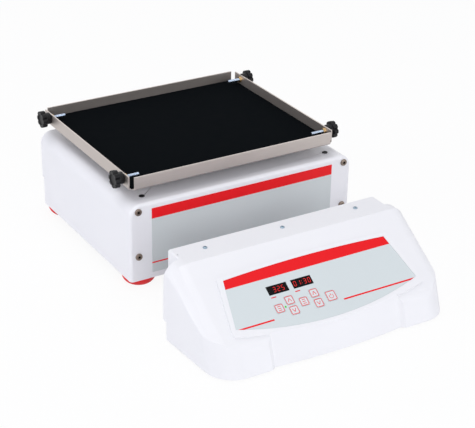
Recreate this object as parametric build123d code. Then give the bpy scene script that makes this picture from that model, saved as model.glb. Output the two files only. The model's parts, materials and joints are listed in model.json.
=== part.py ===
from build123d import *
import os
from math import acos, atan2, cos, degrees, pi, radians, sin, sqrt, tan

# Orbital platform shaker with its separate desk control console.
# Units are millimetres. X runs across the front, Y runs towards the back, Z is up.
# The origin is on the bench, under the middle of the shaker's housing.

# ---------------------------------------------------------------- driving dimensions

# fits and gaps, each used between two pieces that name it
run_gap = 0.05            # radial gap of a shaft turning in its bearing
free_gap = 0.3            # gap between pieces that must never rub
slip_gap = 0.1            # radial gap of a screw shank in its hole
seat_gap = 0.2            # plate edge inside a shell

# shaker housing
housing_w = 356.0
housing_d = 291.0
foot_h = 13.0             # underside of the housing above the bench
housing_top = 127.4
wall = 3.0
side_round = 18.0         # where a side rolls over into the top
rim_round = 5.0           # front and rear edges
recess_d = 8.0            # connector recess low on the rear face
recess_top = 56.0
pan_t = 2.0
pan_flange_h = 26.0

# feet
foot_r_top = 24.0
foot_r_low = 15.0
foot_inset = 24.5         # foot axis from each housing side

# fasteners
front_screw_r = 5.0
front_screw_h = 2.4
front_screw_inset = 12.7
front_screw_z = (50.2, 117.2)
top_screw_r = 4.0
top_screw_h = 1.2
top_screw_side = 30.0     # screw axis from each housing side
top_screw_inset = 22.6
screw_r = 2.5             # shank of the M5 screws
nut_r = 4.5
bracket_pad_r = 5.0       # pads between the front face and its brackets

# front label
label_w = 290.0
label_z = (21.6, 118.2)
label_t = 0.5

# drive
orbit_r = 9.5             # half of the 19 mm orbit
rest_angle = 135.0        # where the cranks stand at rest, from +X
drive_at = (0.0, 45.0)
idler_x = 100.0
idler_y = -55.0
motor_at = (0.0, -72.0)
deck_side = 23.0          # deck edge from each housing side
deck_d = 240.0
deck_t = 6.0
deck_top = 98.0
ear_half = 10.0           # corner ears under the top screws
post_r = 8.0
post_x = 138.0
post_y = 100.0
bearing_house_h = 30.0
bearing_wall = 7.0        # metal round a bearing seat
drive_shaft_r = 8.5
drive_bearing_r = 17.5
drive_bearing_h = 10.0
idler_shaft_r = 7.5
idler_bearing_r = 16.0
idler_bearing_h = 9.0
pin_r = 6.0
hub_bearing_r = 14.0
hub_bearing_h = 8.0
pin_shoulder_r = 8.0
web_r = 24.0
web_t = 14.0
web_lift = 2.0            # web above the deck
counter_r = 64.0
counter_span = 160.0      # degrees of the counterweight's sector
pulley_low = 38.0
pulley_h = 14.0
drive_pulley_r = 56.0
motor_pulley_r = 14.0
pulley_rim = 2.0
belt_t = 1.6
motor_r = 38.0
motor_h = 34.0
motor_shaft_r = 4.0
cover_hole_r = 20.5       # opening in the housing top that a crank pin sweeps in

# motor driver board, on the pan
driver_at = (-91.0, 60.0)
driver_w = 58.0
driver_d = 80.0
board_t = 1.6
spacer_h = 8.0
spacer_r = 3.0
spacer_inset = 5.0

# platform
tray_w = 325.8
tray_d = 279.4
tray_rise = 34.5          # rim above the housing
tray_h = 19.1
sheet = 2.0
bend_r = 3.0              # outer bend radius of the folded tray
corner_cut = 6.0          # square cut out of each corner of the blank
fold_gap = 0.04           # between the tray's floor and each flange
mat_t = 3.0
mat_gap = 0.6             # mat's upper edge inside the flanges
frame_past = 35.0         # frame beyond the idler pins, side to side
frame_d = 220.0
frame_hole_x = 72.0
frame_hole_y = 88.0
frame_hole_r = (12.0, 14.0)
tray_screw_inset = 14.0   # from the frame's edges
frame_t = 4.0
rib_t = 5.0
rib_h = 6.0
hub_wall = 6.0

# thumbscrews
thumb_inset = 22.7        # thumbscrew axis from the tray's front and rear
thumb_drop = 7.0          # screw axis below the rim
stud_r = 2.5
stud_reach = 22.0         # stud standing inside the tray's flange
insert_r = 4.5
insert_lip = 3.0
neck_r = 8.5
neck_l = 7.0
knob_r = 12.5
knob_l = 8.0
knob_lobes = 8
lobe_cut_r = 3.2

# control console, measured from the middle of its back, Y running back
console_x = -13.3
console_y = -244.6
console_low = 2.0         # shell rim above the bench
shelf_z = 109.2
shelf_half = 160.6
neck_d = 27.4             # narrow back block under the shelf
body_half_back = 184.0
body_half_front = 176.0
cheek_front = 164.0       # depth to the front of the corner cheeks
cheek_r = 40.0
notch_half = 97.0         # half width of the bowed middle of the front
notch_front = 159.4
bow_front = 165.0
cheek_step = 6.0          # run of the step from the middle out to a cheek
step_round = 4.0
front_draft = 19.0
slope_angle = 33.3
overlay_top_y = -74.0     # top edge of the key panel
overlay_top_z = 89.0
console_wall = 3.0
console_round = 26.0
nose_round = 30.0
bezel_lift = 2.0
bezel_half_top = 131.0
bezel_half_low = 146.0
bezel_up = 6.0            # bezel beyond the overlay's top edge
bezel_low = 77.0
bezel_bow = 17.0
overlay_half_top = 123.5
overlay_half_low = 138.0
overlay_side = 67.5
overlay_bow = 20.5
panel_rise = 4.0          # bow of the top edges of overlay and bezel
overlay_t = 0.6
overlay_sink = 0.2        # overlay below the bezel's face
console_recess_z = 27.0   # low part of the shoulders set forward
console_recess_d = 8.0

# key panel, x from the console's middle and distance down the slope
key_size = 12.0
power_size = 14.0
key_t = 1.3
key_proud = 0.3
key_travel = 0.4
key_places = {
    "key_speed_run": (-69.0, 57.0, key_size),
    "key_speed_up": (-50.8, 49.8, key_size),
    "key_speed_down": (-50.8, 64.6, key_size),
    "key_time_run": (-32.4, 57.0, key_size),
    "key_time_up": (-13.8, 49.8, key_size),
    "key_time_down": (-13.8, 64.6, key_size),
    "key_power": (7.2, 60.0, power_size),
}
display_w = 30.0
display_h = 12.8
display_x = (-58.6, -21.8)
display_down = 30.4
window_t = 1.4
lamp_at = (-60.1, 57.0)
lamp_r = 1.3
board_x = -30.0           # middle of the display board
board_down = 48.0
board_w = 110.0
board_h = 60.0
board_drop = 6.5          # board's face under the slope

# supply board, on the console floor
supply_x = (-100.0, 60.0)
supply_y = (-112.0, -36.0)
supply_spacer_h = 6.0
transformer_w = 40.0
transformer_h = 26.4

# console back panel
panel_t = 2.0
floor_t = 2.0
lip_gap = 0.2             # connector bodies in their panel openings
shelf_screw_x = 117.0
shelf_screw_y = -18.1
shelf_screw_r = 3.0
shelf_shank_r = 2.0
shelf_shank_l = 9.0
pilot_at = (-156.7, -17.4)  # spare hole left of the shelf screws
pilot_r = 1.3
inlet_x = -110.0
inlet_z = 40.0
inlet_w, inlet_h = 28.0, 20.5
inlet_depth = 22.0
cavity_w, cavity_h = 24.6, 16.8
cavity_depth = 17.0
blade_l = 10.0
inlet_screw_x = 20.0
inlet_screw_r = 1.7
switch_x = -62.0
switch_z = 40.0
switch_w, switch_h = 26.0, 30.0
switch_lip = 2.0          # frame beyond its panel opening
rocker_w, rocker_h = 17.0, 20.0
rocker_throw = 20.0
axle_r = 1.5
socket_x = 60.0
socket_z = 40.0
base_socket_z = 35.0
socket_w, socket_h = 31.0, 12.5
console_foot_r = 7.0
console_foot_inset = 22.0
console_foot_rows = (26.0, 118.0)

# ---------------------------------------------------------------- worked-out places

housing_front = -housing_d / 2
housing_back = housing_d / 2
deck_low = deck_top - deck_t
web_low = deck_top + web_lift
web_top = web_low + web_t
tray_rim = housing_top + tray_rise
tray_low = tray_rim - tray_h
floor_top = tray_low + sheet
frame_low = tray_low - frame_t
hub_low = frame_low - hub_bearing_h
pin_top = frame_low - free_gap
shoulder_top = hub_low - free_gap
house_low = deck_low - bearing_house_h
pulley_top = pulley_low + pulley_h
belt_low = pulley_low + pulley_rim + free_gap
belt_h = pulley_h - 2 * (pulley_rim + free_gap)
orbit = (orbit_r * cos(radians(rest_angle)), orbit_r * sin(radians(rest_angle)))
idlers_at = [(-idler_x, idler_y), (idler_x, idler_y)]
cranks_at = [drive_at] + idlers_at
tray_mid = orbit
top_screw_x = housing_w / 2 - top_screw_side
deck_w = housing_w - 2 * deck_side
frame_w = 2 * (idler_x + frame_past)
thumb_y = tray_d / 2 - thumb_inset
thumb_z = tray_rim - thumb_drop
foot_places = [(sx * (housing_w / 2 - foot_inset), sy * (housing_d / 2 - foot_inset))
               for sx in (-1, 1) for sy in (-1, 1)]
post_places = [(sx * post_x, sy * post_y) for sx in (-1, 1) for sy in (-1, 1)]
top_screw_y = housing_d / 2 - top_screw_inset
top_screw_places = [(sx * top_screw_x, sy * top_screw_y) for sx in (-1, 1) for sy in (-1, 1)]
front_screw_x = housing_w / 2 - front_screw_inset
slope = Plane(origin=(console_x, console_y + overlay_top_y, overlay_top_z), x_dir=(1, 0, 0),
              z_dir=(0, -sin(radians(slope_angle)), cos(radians(slope_angle))))
console = Pos(console_x, console_y, 0)

parts = {}


# ---------------------------------------------------------------- shared shapes

def disc(radius, low, high, at=(0, 0)):
    """Upright cylinder from one height to another."""
    rod = Cylinder(radius, high - low, align=(Align.CENTER, Align.CENTER, Align.MIN))
    return Pos(at[0], at[1], low) * rod


def ring(outer, inner, low, high, at=(0, 0)):
    """Upright tube."""
    return disc(outer, low, high, at) - disc(inner, low, high, at)


def block(x, y, z):
    """Box between pairs of limits."""
    size = [b - a for a, b in (x, y, z)]
    return Pos(x[0], y[0], z[0]) * Box(*size, align=(Align.MIN, Align.MIN, Align.MIN))


def along_x(radius, x0, x1, y, z):
    """Cylinder lying along X."""
    low, high = sorted((x0, x1))
    return Pos(low, y, z) * Rot(0, 90, 0) * Cylinder(radius, high - low,
                                                     align=(Align.CENTER, Align.CENTER, Align.MIN))


def along_y(radius, y0, y1, x, z):
    """Cylinder lying along Y."""
    low, high = sorted((y0, y1))
    return Pos(x, high, z) * Rot(90, 0, 0) * Cylinder(radius, high - low,
                                                      align=(Align.CENTER, Align.CENTER, Align.MIN))


def group(solids):
    """Several separate solids kept in one node."""
    return Compound(children=[s for piece in solids for s in piece.solids()])


def bearing(outer, bore, low, height, at):
    """Shielded ball bearing: two rings with the shields set back between them."""
    mid_low = bore + 0.3 * (outer - bore)
    mid_high = bore + 0.7 * (outer - bore)
    shield = 0.12 * height
    body = ring(outer, bore, low, low + height, at)
    body -= ring(mid_high, mid_low, low, low + shield, at)
    return body - ring(mid_high, mid_low, low + height - shield, low + height, at)


def cap_screw(head_r, head_h, shank_r, length, socket_r):
    """Round-headed socket screw, head up, seat at z = 0, shank down."""
    head = Cylinder(head_r, head_h, align=(Align.CENTER, Align.CENTER, Align.MIN))
    head = fillet(head.edges().group_by(Axis.Z)[-1], min(head_h, head_r) * 0.55)
    shank = Pos(0, 0, -length) * Cylinder(shank_r, length, align=(Align.CENTER, Align.CENTER, Align.MIN))
    socket = extrude(RegularPolygon(socket_r, 6), head_h * 0.6)
    return head + shank - Pos(0, 0, head_h * 0.4) * socket


# ---------------------------------------------------------------- housing and chassis

def arch(inset, length_inset):
    """Housing form, open arch section drawn across X and run along Y."""
    half = housing_w / 2 - inset
    high = housing_top - inset
    low = foot_h
    with_round = Rectangle(2 * half, high - low, align=(Align.CENTER, Align.MIN))
    with_round = fillet(with_round.vertices().group_by(Axis.Y)[-1], side_round - inset)
    length = housing_d - 2 * length_inset
    body = extrude(Plane.XZ * with_round, length / 2, both=True)
    return Pos(0, 0, low) * body


def crank_openings(low, high):
    """The openings that the crank pins sweep in."""
    return [disc(cover_hole_r, low, high, at) for at in cranks_at]


def make_top_cover():
    """Housing shell: rolled top, open below, with the rear connector recess."""
    outer = arch(0, 0)
    rims = [e for f in (outer.faces().sort_by(Axis.Y)[0], outer.faces().sort_by(Axis.Y)[-1])
            for e in f.edges() if e.center().Z > foot_h + 1]
    outer = fillet(rims, rim_round)
    inner = arch(wall, wall)
    inner += Pos(0, 0, -1) * inner
    wide = (-housing_w, housing_w)
    outer -= block(wide, (housing_back - recess_d, housing_back + 1), (0, recess_top))
    inner -= block(wide, (housing_back - recess_d - wall, housing_back + 1), (0, recess_top + wall))
    shell = outer - inner
    for x, y in top_screw_places:
        shell += disc(top_screw_r + 2, deck_top, housing_top - wall, (x, y))
        shell -= disc(screw_r * 0.6 + slip_gap, deck_top - 1, housing_top + 1, (x, y))
    for hole in crank_openings(housing_top - wall - 1, housing_top + 1):
        shell -= hole
    for x in (-front_screw_x, front_screw_x):
        for z in front_screw_z:
            shell -= along_y(screw_r + slip_gap, housing_front - 1, housing_front + wall + 1, x, z)
    shell -= block((-socket_w / 2, socket_w / 2), (housing_back - recess_d - wall - 1, housing_back),
                   (base_socket_z - socket_h / 2, base_socket_z + socket_h / 2))
    return shell


def make_base_pan():
    """Folded floor pan with flanges inside the housing walls."""
    half_w = housing_w / 2 - wall
    front = housing_front + wall
    back = housing_back - recess_d - wall
    pan = block((-half_w, half_w), (front, back), (foot_h, foot_h + pan_flange_h))
    pan = fillet(pan.edges().filter_by(Axis.Z), 2.0)
    pan -= block((-half_w + pan_t, half_w - pan_t), (front + pan_t, back - pan_t),
                 (foot_h + pan_t, foot_h + pan_flange_h + 1))
    pan -= block((-socket_w / 2 - 4, socket_w / 2 + 4), (back - pan_t - 1, back + 1),
                 (foot_h + pan_t + 4, foot_h + pan_flange_h + 1))
    for place in foot_places + post_places:
        pan -= disc(screw_r + slip_gap, foot_h - 1, foot_h + pan_t + 1, place)
    for row in range(-2, 3):
        pan -= block((40.0, 100.0), (row * 14.0 - 2.5, row * 14.0 + 2.5), (foot_h - 1, foot_h + pan_t + 1))
    return pan


def make_feet():
    """Domed rubber feet, hollow for their screws."""
    profile = Polyline((0, 0), (foot_r_low, 0)) + ThreePointArc(
        (foot_r_low, 0), (foot_r_top - 2.6, foot_h * 0.42), (foot_r_top, foot_h))
    profile += Polyline((foot_r_top, foot_h), (0, foot_h), (0, 0))
    dome = revolve(Plane.XZ * make_face(profile), Axis.Z)
    dome -= disc(5.0, -1, foot_h - 5.0)
    dome -= disc(screw_r + slip_gap, 0, foot_h + 1)
    return group([Pos(x, y, 0) * dome for x, y in foot_places])


def make_foot_screws():
    """Foot screws with their nuts on the pan's inside."""
    screw = Rot(180, 0, 0) * cap_screw(4.4, 3.0, screw_r, 14.0, 2.0)
    nut = extrude(RegularPolygon(nut_r, 6) - Circle(screw_r), 4.0)
    one = Pos(0, 0, foot_h - 5.0) * screw + Pos(0, 0, foot_h + pan_t) * nut
    return group([Pos(x, y, 0) * one for x, y in foot_places])


def make_front_label():
    """Printed panel let on to the front face between the screws."""
    return block((-label_w / 2, label_w / 2), (housing_front - label_t, housing_front), label_z)


def make_front_screws():
    """Button-head screws that hold the housing to its brackets."""
    screw = Rot(90, 0, 0) * cap_screw(front_screw_r, front_screw_h, screw_r, wall + 7.0, 2.2)
    return group([Pos(x, housing_front, z) * screw for x in (-front_screw_x, front_screw_x)
                  for z in front_screw_z])


def make_top_screws():
    """Black screws in the housing top."""
    length = housing_top - deck_top + deck_t
    screw = cap_screw(top_screw_r, top_screw_h, screw_r * 0.6, length, 1.8)
    return group([Pos(x, y, housing_top) * screw for x, y in top_screw_places])


def make_cover_brackets():
    """Upright angle brackets behind the front face, with a tapped pad for each screw."""
    solids = []
    y0 = housing_front + wall + pan_t
    high = front_screw_z[1] - bracket_pad_r - 2
    for side in (-1, 1):
        mid = side * front_screw_x
        inner, outer = mid - side * 12, mid + side * 6
        angle = block(sorted((inner, outer)), (y0, y0 + 3.0), (foot_h + pan_t, high))
        angle += block(sorted((outer - side * 3, outer)), (y0, y0 + 22.0), (foot_h + pan_t, high))
        angle += block((mid - 4, mid + 4), (y0, y0 + 3.0), (high - 1, front_screw_z[1]))
        for z in front_screw_z:
            angle += along_y(bracket_pad_r, housing_front + wall, y0 + 5.0, mid, z)
        for z in front_screw_z:
            angle -= along_y(screw_r + slip_gap, housing_front, y0 + 8.0, mid, z)
        solids.append(angle)
    return group(solids)


def make_deck_plate():
    """Thick plate that carries the three crank housings and the motor."""
    deck = block((-deck_w / 2, deck_w / 2), (-deck_d / 2, deck_d / 2), (deck_low, deck_top))
    deck = fillet(deck.edges().filter_by(Axis.Z), 12.0)
    for x, y in top_screw_places:
        ear = block((x - ear_half, x + ear_half), (y - ear_half, y + ear_half), (deck_low, deck_top))
        deck += fillet(ear.edges().filter_by(Axis.Z), 3.0)
        deck -= disc(screw_r * 0.6 + slip_gap, deck_low - 1, deck_top + 1, (x, y))
    deck -= disc(drive_shaft_r + 2, deck_low - 1, deck_top + 1, drive_at)
    for at in idlers_at:
        deck -= disc(idler_shaft_r + 2, deck_low - 1, deck_top + 1, at)
    for place in post_places:
        deck -= disc(screw_r + slip_gap, deck_low - 1, deck_top + 1, place)
    for at, bolt_r in bolt_circles():
        for x, y in bolts_round(at, bolt_r):
            deck -= disc(screw_r + slip_gap, deck_low - 1, deck_top + 1, (x, y))
    for side in (-1, 1):
        window = block(sorted((side * 62, side * 118)), (18.0, 84.0), (deck_low - 1, deck_top + 1))
        deck -= fillet(window.edges().filter_by(Axis.Z), 10.0)
    return deck


def bolt_circles():
    """Where flanges are bolted under the deck: place and bolt circle radius."""
    rows = [(drive_at, drive_bearing_r + bearing_wall + 6)]
    rows += [(at, idler_bearing_r + bearing_wall + 6) for at in idlers_at]
    rows.append((motor_at, motor_r - 8))
    return rows


def bolts_round(at, radius):
    """Four bolt places round a centre."""
    turns = [radians(a) for a in (45, 135, 225, 315)]
    return [(at[0] + radius * cos(a), at[1] + radius * sin(a)) for a in turns]


def make_deck_screws():
    """Socket screws through the deck into the flanges below."""
    screw = cap_screw(4.2, 1.6, screw_r, deck_t + 9.0, 2.0)
    places = [p for at, radius in bolt_circles() for p in bolts_round(at, radius)]
    places += post_places
    return group([Pos(x, y, deck_top) * screw for x, y in places])


def make_deck_posts():
    """Turned posts from the pan to the deck."""
    post = ring(post_r, screw_r + slip_gap, deck_low - 16, deck_low)
    post += disc(post_r, foot_h + pan_t, deck_low - 16)
    post += disc(post_r + 3, foot_h + pan_t, foot_h + pan_t + 4)
    return group([Pos(x, y, 0) * post for x, y in post_places])


def bearing_house(at, bearing_r, bearing_h, shaft_r):
    """Flanged housing under the deck with a bearing seat at each end."""
    flange_r = bearing_r + bearing_wall + 12
    body = disc(bearing_r + bearing_wall, house_low, deck_low, at)
    body += disc(flange_r, deck_low - 7, deck_low, at)
    body -= disc(shaft_r + 3, house_low - 1, deck_low + 1, at)
    for low in (house_low, deck_low - bearing_h):
        body -= disc(bearing_r, low, low + bearing_h, at)
    for place in bolts_round(at, bearing_r + bearing_wall + 6):
        body -= disc(screw_r + slip_gap, deck_low - 10, deck_low + 1, place)
    return body


def crank_stations():
    """Place, bearing radius, bearing height and shaft radius of each crank."""
    drive = (drive_at, drive_bearing_r, drive_bearing_h, drive_shaft_r)
    return [drive] + [(at, idler_bearing_r, idler_bearing_h, idler_shaft_r) for at in idlers_at]


def make_crank_housings():
    return group([bearing_house(*station) for station in crank_stations()])


def make_shaft_bearings():
    """Two bearings in each crank housing."""
    solids = []
    for at, outer, height, shaft in crank_stations():
        for low in (house_low, deck_low - height):
            solids.append(bearing(outer, shaft + run_gap, low, height, at))
    return group(solids)


# ---------------------------------------------------------------- cranks, belt and motor

def crank(at, shaft_r, shaft_low):
    """Shaft, round web and offset pin, turned from one bar."""
    pin_at = (at[0] + orbit[0], at[1] + orbit[1])
    shaft = disc(shaft_r, shaft_low, web_low, at)
    shaft += disc(shaft_r + 1.5, deck_low + free_gap, web_low, at)
    web = chamfer(disc(web_r, web_low, web_top, at).edges().filter_by(GeomType.CIRCLE), 1.0)
    pin = disc(pin_shoulder_r, web_top, shoulder_top, pin_at) + disc(pin_r, shoulder_top, pin_top, pin_at)
    return shaft + web + pin


def make_drive_crank():
    shaft_low = pulley_low - 4
    return crank(drive_at, drive_shaft_r, shaft_low)


def make_idler(index):
    return crank(idlers_at[index], idler_shaft_r, house_low - 3)


def make_counterweight():
    """Sector weight clamped round the drive web, opposite its pin."""
    start = rest_angle + 180 - counter_span / 2
    sector = revolve(Plane.XZ * Pos((web_r + counter_r) / 2, web_low + web_t / 2)
                     * Rectangle(counter_r - web_r, web_t), Axis.Z, counter_span)
    weight = Pos(drive_at[0], drive_at[1], 0) * Rot(0, 0, start) * sector
    for turn in (-50, 0, 50):
        a = radians(rest_angle + 180 + turn)
        hole = (drive_at[0] + 50 * cos(a), drive_at[1] + 50 * sin(a))
        weight -= disc(4.0, web_low - 1, web_top + 1, hole)
    return weight


def pulley(radius, bore, at, spokes):
    """Flat-belt pulley with two rims."""
    rim_r = radius + 2.5
    wheel = disc(radius, pulley_low, pulley_top, at)
    wheel += disc(rim_r, pulley_low, pulley_low + pulley_rim, at)
    wheel += disc(rim_r, pulley_top - pulley_rim, pulley_top, at)
    wheel -= disc(bore, pulley_low - 1, pulley_top + 1, at)
    if spokes:
        hub = bore + 9
        wheel -= ring(radius - 5, hub, pulley_low - 1, pulley_low + 4, at)
        wheel -= ring(radius - 5, hub, pulley_top - 4, pulley_top + 1, at)
        for i in range(spokes):
            a = radians(i * 360 / spokes)
            reach = (hub + radius - 5) / 2
            hole = (at[0] + reach * cos(a), at[1] + reach * sin(a))
            wheel -= disc(9.0, pulley_low - 1, pulley_top + 1, hole)
    return wheel


def make_drive_pulley():
    return pulley(drive_pulley_r, drive_shaft_r, drive_at, 6)


def make_motor_pulley():
    return pulley(motor_pulley_r, motor_shaft_r, motor_at, 0)


def belt_outline(grow):
    """Closed outline of an open belt round both pulleys, offset outwards."""
    big, small = drive_pulley_r + grow, motor_pulley_r + grow
    span = drive_at[1] - motor_at[1]
    lean = acos((big - small) / span)
    arcs = []
    for centre, radius in ((drive_at, big), (motor_at, small)):
        arcs.append([(centre[0] + side * radius * sin(lean), centre[1] - radius * cos(lean))
                     for side in (-1, 1)])
    top = (drive_at[0], drive_at[1] + big)
    bottom = (motor_at[0], motor_at[1] - small)
    outline = ThreePointArc(arcs[0][0], top, arcs[0][1]) + Line(arcs[0][1], arcs[1][1])
    outline += ThreePointArc(arcs[1][1], bottom, arcs[1][0]) + Line(arcs[1][0], arcs[0][0])
    return make_face(outline)


def make_drive_belt():
    """Flat belt, free of the turning pulleys by a fixed gap."""
    band = belt_outline(free_gap + belt_t) - belt_outline(free_gap)
    return Pos(0, 0, belt_low) * extrude(band, belt_h)


def make_motor():
    """Flat brushless motor hung under the deck, shaft down."""
    low = deck_low - motor_h
    body = disc(motor_r, low, deck_low, motor_at)
    body = chamfer(body.edges().group_by(Axis.Z)[0], 2.0)
    for step in range(4):
        z = low + 7 + step * 5.0
        body -= ring(motor_r + 1, motor_r - 1.6, z, z + 2.2, motor_at)
    body += disc(12.0, low - 2, low, motor_at)
    body -= disc(motor_shaft_r + run_gap, low - 3, deck_low - 6, motor_at)
    for place in bolts_round(motor_at, motor_r - 8):
        body -= disc(screw_r + slip_gap, deck_low - 12, deck_low + 1, place)
    return body


def make_motor_shaft():
    low = deck_low - motor_h
    return disc(motor_shaft_r, pulley_low - 3, low + motor_h - 6 - free_gap, motor_at)


def make_driver_board():
    """Motor driver board on the pan, with capacitors, heat sink and headers."""
    x0, y0 = driver_at[0] - driver_w / 2, driver_at[1] - driver_d / 2
    low = foot_h + pan_t
    top = low + spacer_h + board_t
    board = block((x0, x0 + driver_w), (y0, y0 + driver_d), (low + spacer_h, top))
    for x in (x0 + spacer_inset, x0 + driver_w - spacer_inset):
        for y in (y0 + spacer_inset, y0 + driver_d - spacer_inset):
            board += disc(spacer_r, low, low + spacer_h, (x, y))
    cap_r, cap_h, fin_t, fin_pitch, fin_h, sink_t = 5.0, 19.4, 2.0, 6.0, 18.4, 2.4
    for column in (1, 2):
        board += disc(cap_r, top, top + cap_h, (x0 + column * 2.4 * cap_r, y0 + driver_d - 3.2 * cap_r))
    sink_y = (y0 + driver_d * 0.2, y0 + driver_d * 0.55)
    for fin in range(6):
        x = x0 + fin_pitch * (fin + 1.4)
        board += block((x, x + fin_t), sink_y, (top, top + fin_h))
    board += block((x0 + fin_pitch, x0 + 7.4 * fin_pitch), sink_y, (top, top + sink_t))
    header_w, header_h = 9.0, 10.4
    x = x0 + driver_w - header_w - 4.0
    board += block((x, x + header_w), (y0 + driver_d * 0.1, y0 + driver_d * 0.48), (top, top + header_h))
    return board


def make_speed_sensor():
    """Pick-up on a stalk under the drive pulley's rim."""
    x = drive_at[0] + drive_pulley_r - 8
    y = drive_at[1]
    low = foot_h + pan_t
    head_low = pulley_low - 7
    stalk = block((x - 8, x + 8), (y - 6, y + 6), (low, low + 2))
    stalk += block((x - 8, x + 8), (y - 1.5, y + 1.5), (low, head_low))
    return stalk + block((x - 5, x + 5), (y - 5, y + 5), (head_low, pulley_low - 2))


def d_socket(x, y, z):
    """Nine-way D connector whose mating face looks along +Y at the given y."""
    flange = block((x - socket_w / 2 + lip_gap, x + socket_w / 2 - lip_gap), (y - 10, y + 0.8),
                   (z - socket_h / 2 + lip_gap, z + socket_h / 2 - lip_gap))
    shell = Rectangle(19.0, 8.4)
    shell = fillet(shell.vertices(), 2.0)
    body = Pos(x, y + 0.8, z) * Rot(90, 0, 0) * Pos(0, 0, -5.6) * extrude(shell, 5.6)
    socket = flange + body
    for row, count in ((1.4, 5), (-1.4, 4)):
        for i in range(count):
            across = (i - (count - 1) / 2) * 2.75
            socket -= along_y(0.6, y + 2, y + 7, x + across, z + row)
    for side in (-1, 1):
        socket += along_y(2.6, y, y + 5.4, x + side * 12.5, z)
    return socket


def make_link_sockets():
    """The socket in the rear recess and its twin in the console's back."""
    return group([d_socket(0.0, housing_back - recess_d, base_socket_z),
                  console * d_socket(socket_x, 0.0, socket_z)])


# ---------------------------------------------------------------- platform

def at_tray(shape):
    """Place something drawn about the tray's middle."""
    return Pos(tray_mid[0], tray_mid[1], 0) * shape


def make_platform_frame():
    """Cast spider under the tray with a bearing hub over each crank pin."""
    plate = block((-frame_w / 2, frame_w / 2), (-frame_d / 2, frame_d / 2), (frame_low, tray_low))
    plate = fillet(plate.edges().filter_by(Axis.Z), 14.0)
    rib_low = frame_low - rib_h
    for a, b in ((cranks_at[0], cranks_at[1]), (cranks_at[1], cranks_at[2]), (cranks_at[2], cranks_at[0])):
        dx, dy = b[0] - a[0], b[1] - a[1]
        length = sqrt(dx * dx + dy * dy)
        rib = Pos((a[0] + b[0]) / 2, (a[1] + b[1]) / 2, rib_low) * Rot(0, 0, degrees(atan2(dy, dx))) * Box(
            length, rib_t, rib_h, align=(Align.CENTER, Align.CENTER, Align.MIN))
        plate += rib
    for at in cranks_at:
        plate += disc(hub_bearing_r + hub_wall, hub_low, frame_low, at)
    for at in cranks_at:
        plate -= disc(hub_bearing_r, hub_low - 1, frame_low, at)
        plate -= disc(pin_r + 3, hub_low, frame_low + 1.5, at)
    for x in (-frame_hole_x, 0.0, frame_hole_x):
        for y, size in zip((-frame_hole_y, frame_hole_y), frame_hole_r):
            plate -= disc(size, frame_low - 1, tray_low + 1, (x, y))
    for x, y in tray_screw_places():
        plate -= disc(screw_r + slip_gap, frame_low - 1, tray_low + 1, (x, y))
    return at_tray(plate)


def tray_screw_places():
    x, y = frame_w / 2 - tray_screw_inset, frame_d / 2 - tray_screw_inset
    return [(sx * x, sy * y) for sx in (-1, 1) for sy in (-1, 1)]


def make_hub_bearings():
    """Bearings in the platform hubs; the idler pins keep a wider gap."""
    bores = [pin_r + run_gap, pin_r + free_gap, pin_r + free_gap]
    return group([at_tray(bearing(hub_bearing_r, bore, hub_low, hub_bearing_h, at))
                  for at, bore in zip(cranks_at, bores)])


def make_tray():
    """Stainless tray with open corners: a floor and four flanges.

    The blank is divided at its bend lines by a hair, so that every flange collides as a thin wall."""
    outer = block((-tray_w / 2, tray_w / 2), (-tray_d / 2, tray_d / 2), (tray_low, tray_rim))
    outer = fillet(outer.edges().group_by(Axis.Z)[0], bend_r)
    half_w, half_d = tray_w / 2 - sheet, tray_d / 2 - sheet
    inner = block((-half_w, half_w), (-half_d, half_d), (floor_top, tray_rim + bend_r))
    inner = fillet(inner.edges().group_by(Axis.Z)[0], bend_r - sheet)
    tray = outer - inner
    for sx in (-1, 1):
        for sy in (-1, 1):
            tray -= block(sorted((sx * (tray_w / 2 - corner_cut), sx * tray_w)),
                          sorted((sy * (tray_d / 2 - corner_cut), sy * tray_d)), (0, tray_rim + 1))
            tray -= along_x(insert_r - 1 + slip_gap, sx * (tray_w / 2 - sheet - 1), sx * (tray_w / 2 + 1),
                            sy * thumb_y, thumb_z)
    for x, y in tray_screw_places():
        tray -= countersunk(x, y, slip_gap, tray_low - 1)
    bend_x, bend_y = tray_w / 2 - bend_r, tray_d / 2 - bend_r
    floor_x, floor_y = bend_x - fold_gap, bend_y - fold_gap
    panels = [((-floor_x, floor_x), (-floor_y, floor_y))]
    for side in (-1, 1):
        panels.append((sorted((side * bend_x, side * tray_w)), (-bend_y, bend_y)))
        panels.append(((-bend_x, bend_x), sorted((side * bend_y, side * tray_d))))
    return group([at_tray(tray & block(xs, ys, (tray_low - 1, tray_rim + 1))) for xs, ys in panels])


def countersunk(x, y, grow, low):
    """Countersunk screw form flush with the tray floor, down to a height."""
    head = Pos(x, y, floor_top - sheet / 2) * Cone(screw_r + grow, screw_r + sheet + grow, sheet)
    return head + disc(screw_r + grow, low, floor_top - sheet / 2, (x, y))


def make_tray_screws():
    """Countersunk screws from the tray floor into the frame."""
    socket = Pos(0, 0, floor_top - sheet / 2) * extrude(RegularPolygon(1.6, 6), sheet)
    return group([at_tray(countersunk(x, y, 0, frame_low - 4) - Pos(x, y, 0) * socket)
                  for x, y in tray_screw_places()])


def make_tray_mat():
    """Rubber mat with bevelled edges that sit in the tray's bend."""
    low_w, low_d = tray_w - 2 * bend_r, tray_d - 2 * bend_r
    high_w, high_d = tray_w - 2 * (sheet + mat_gap), tray_d - 2 * (sheet + mat_gap)
    low = Pos(0, 0, floor_top) * Rectangle(low_w, low_d)
    high = Pos(0, 0, floor_top + mat_t) * Rectangle(high_w, high_d)
    return at_tray(loft(Sketch() + [low, high], ruled=True))


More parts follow.
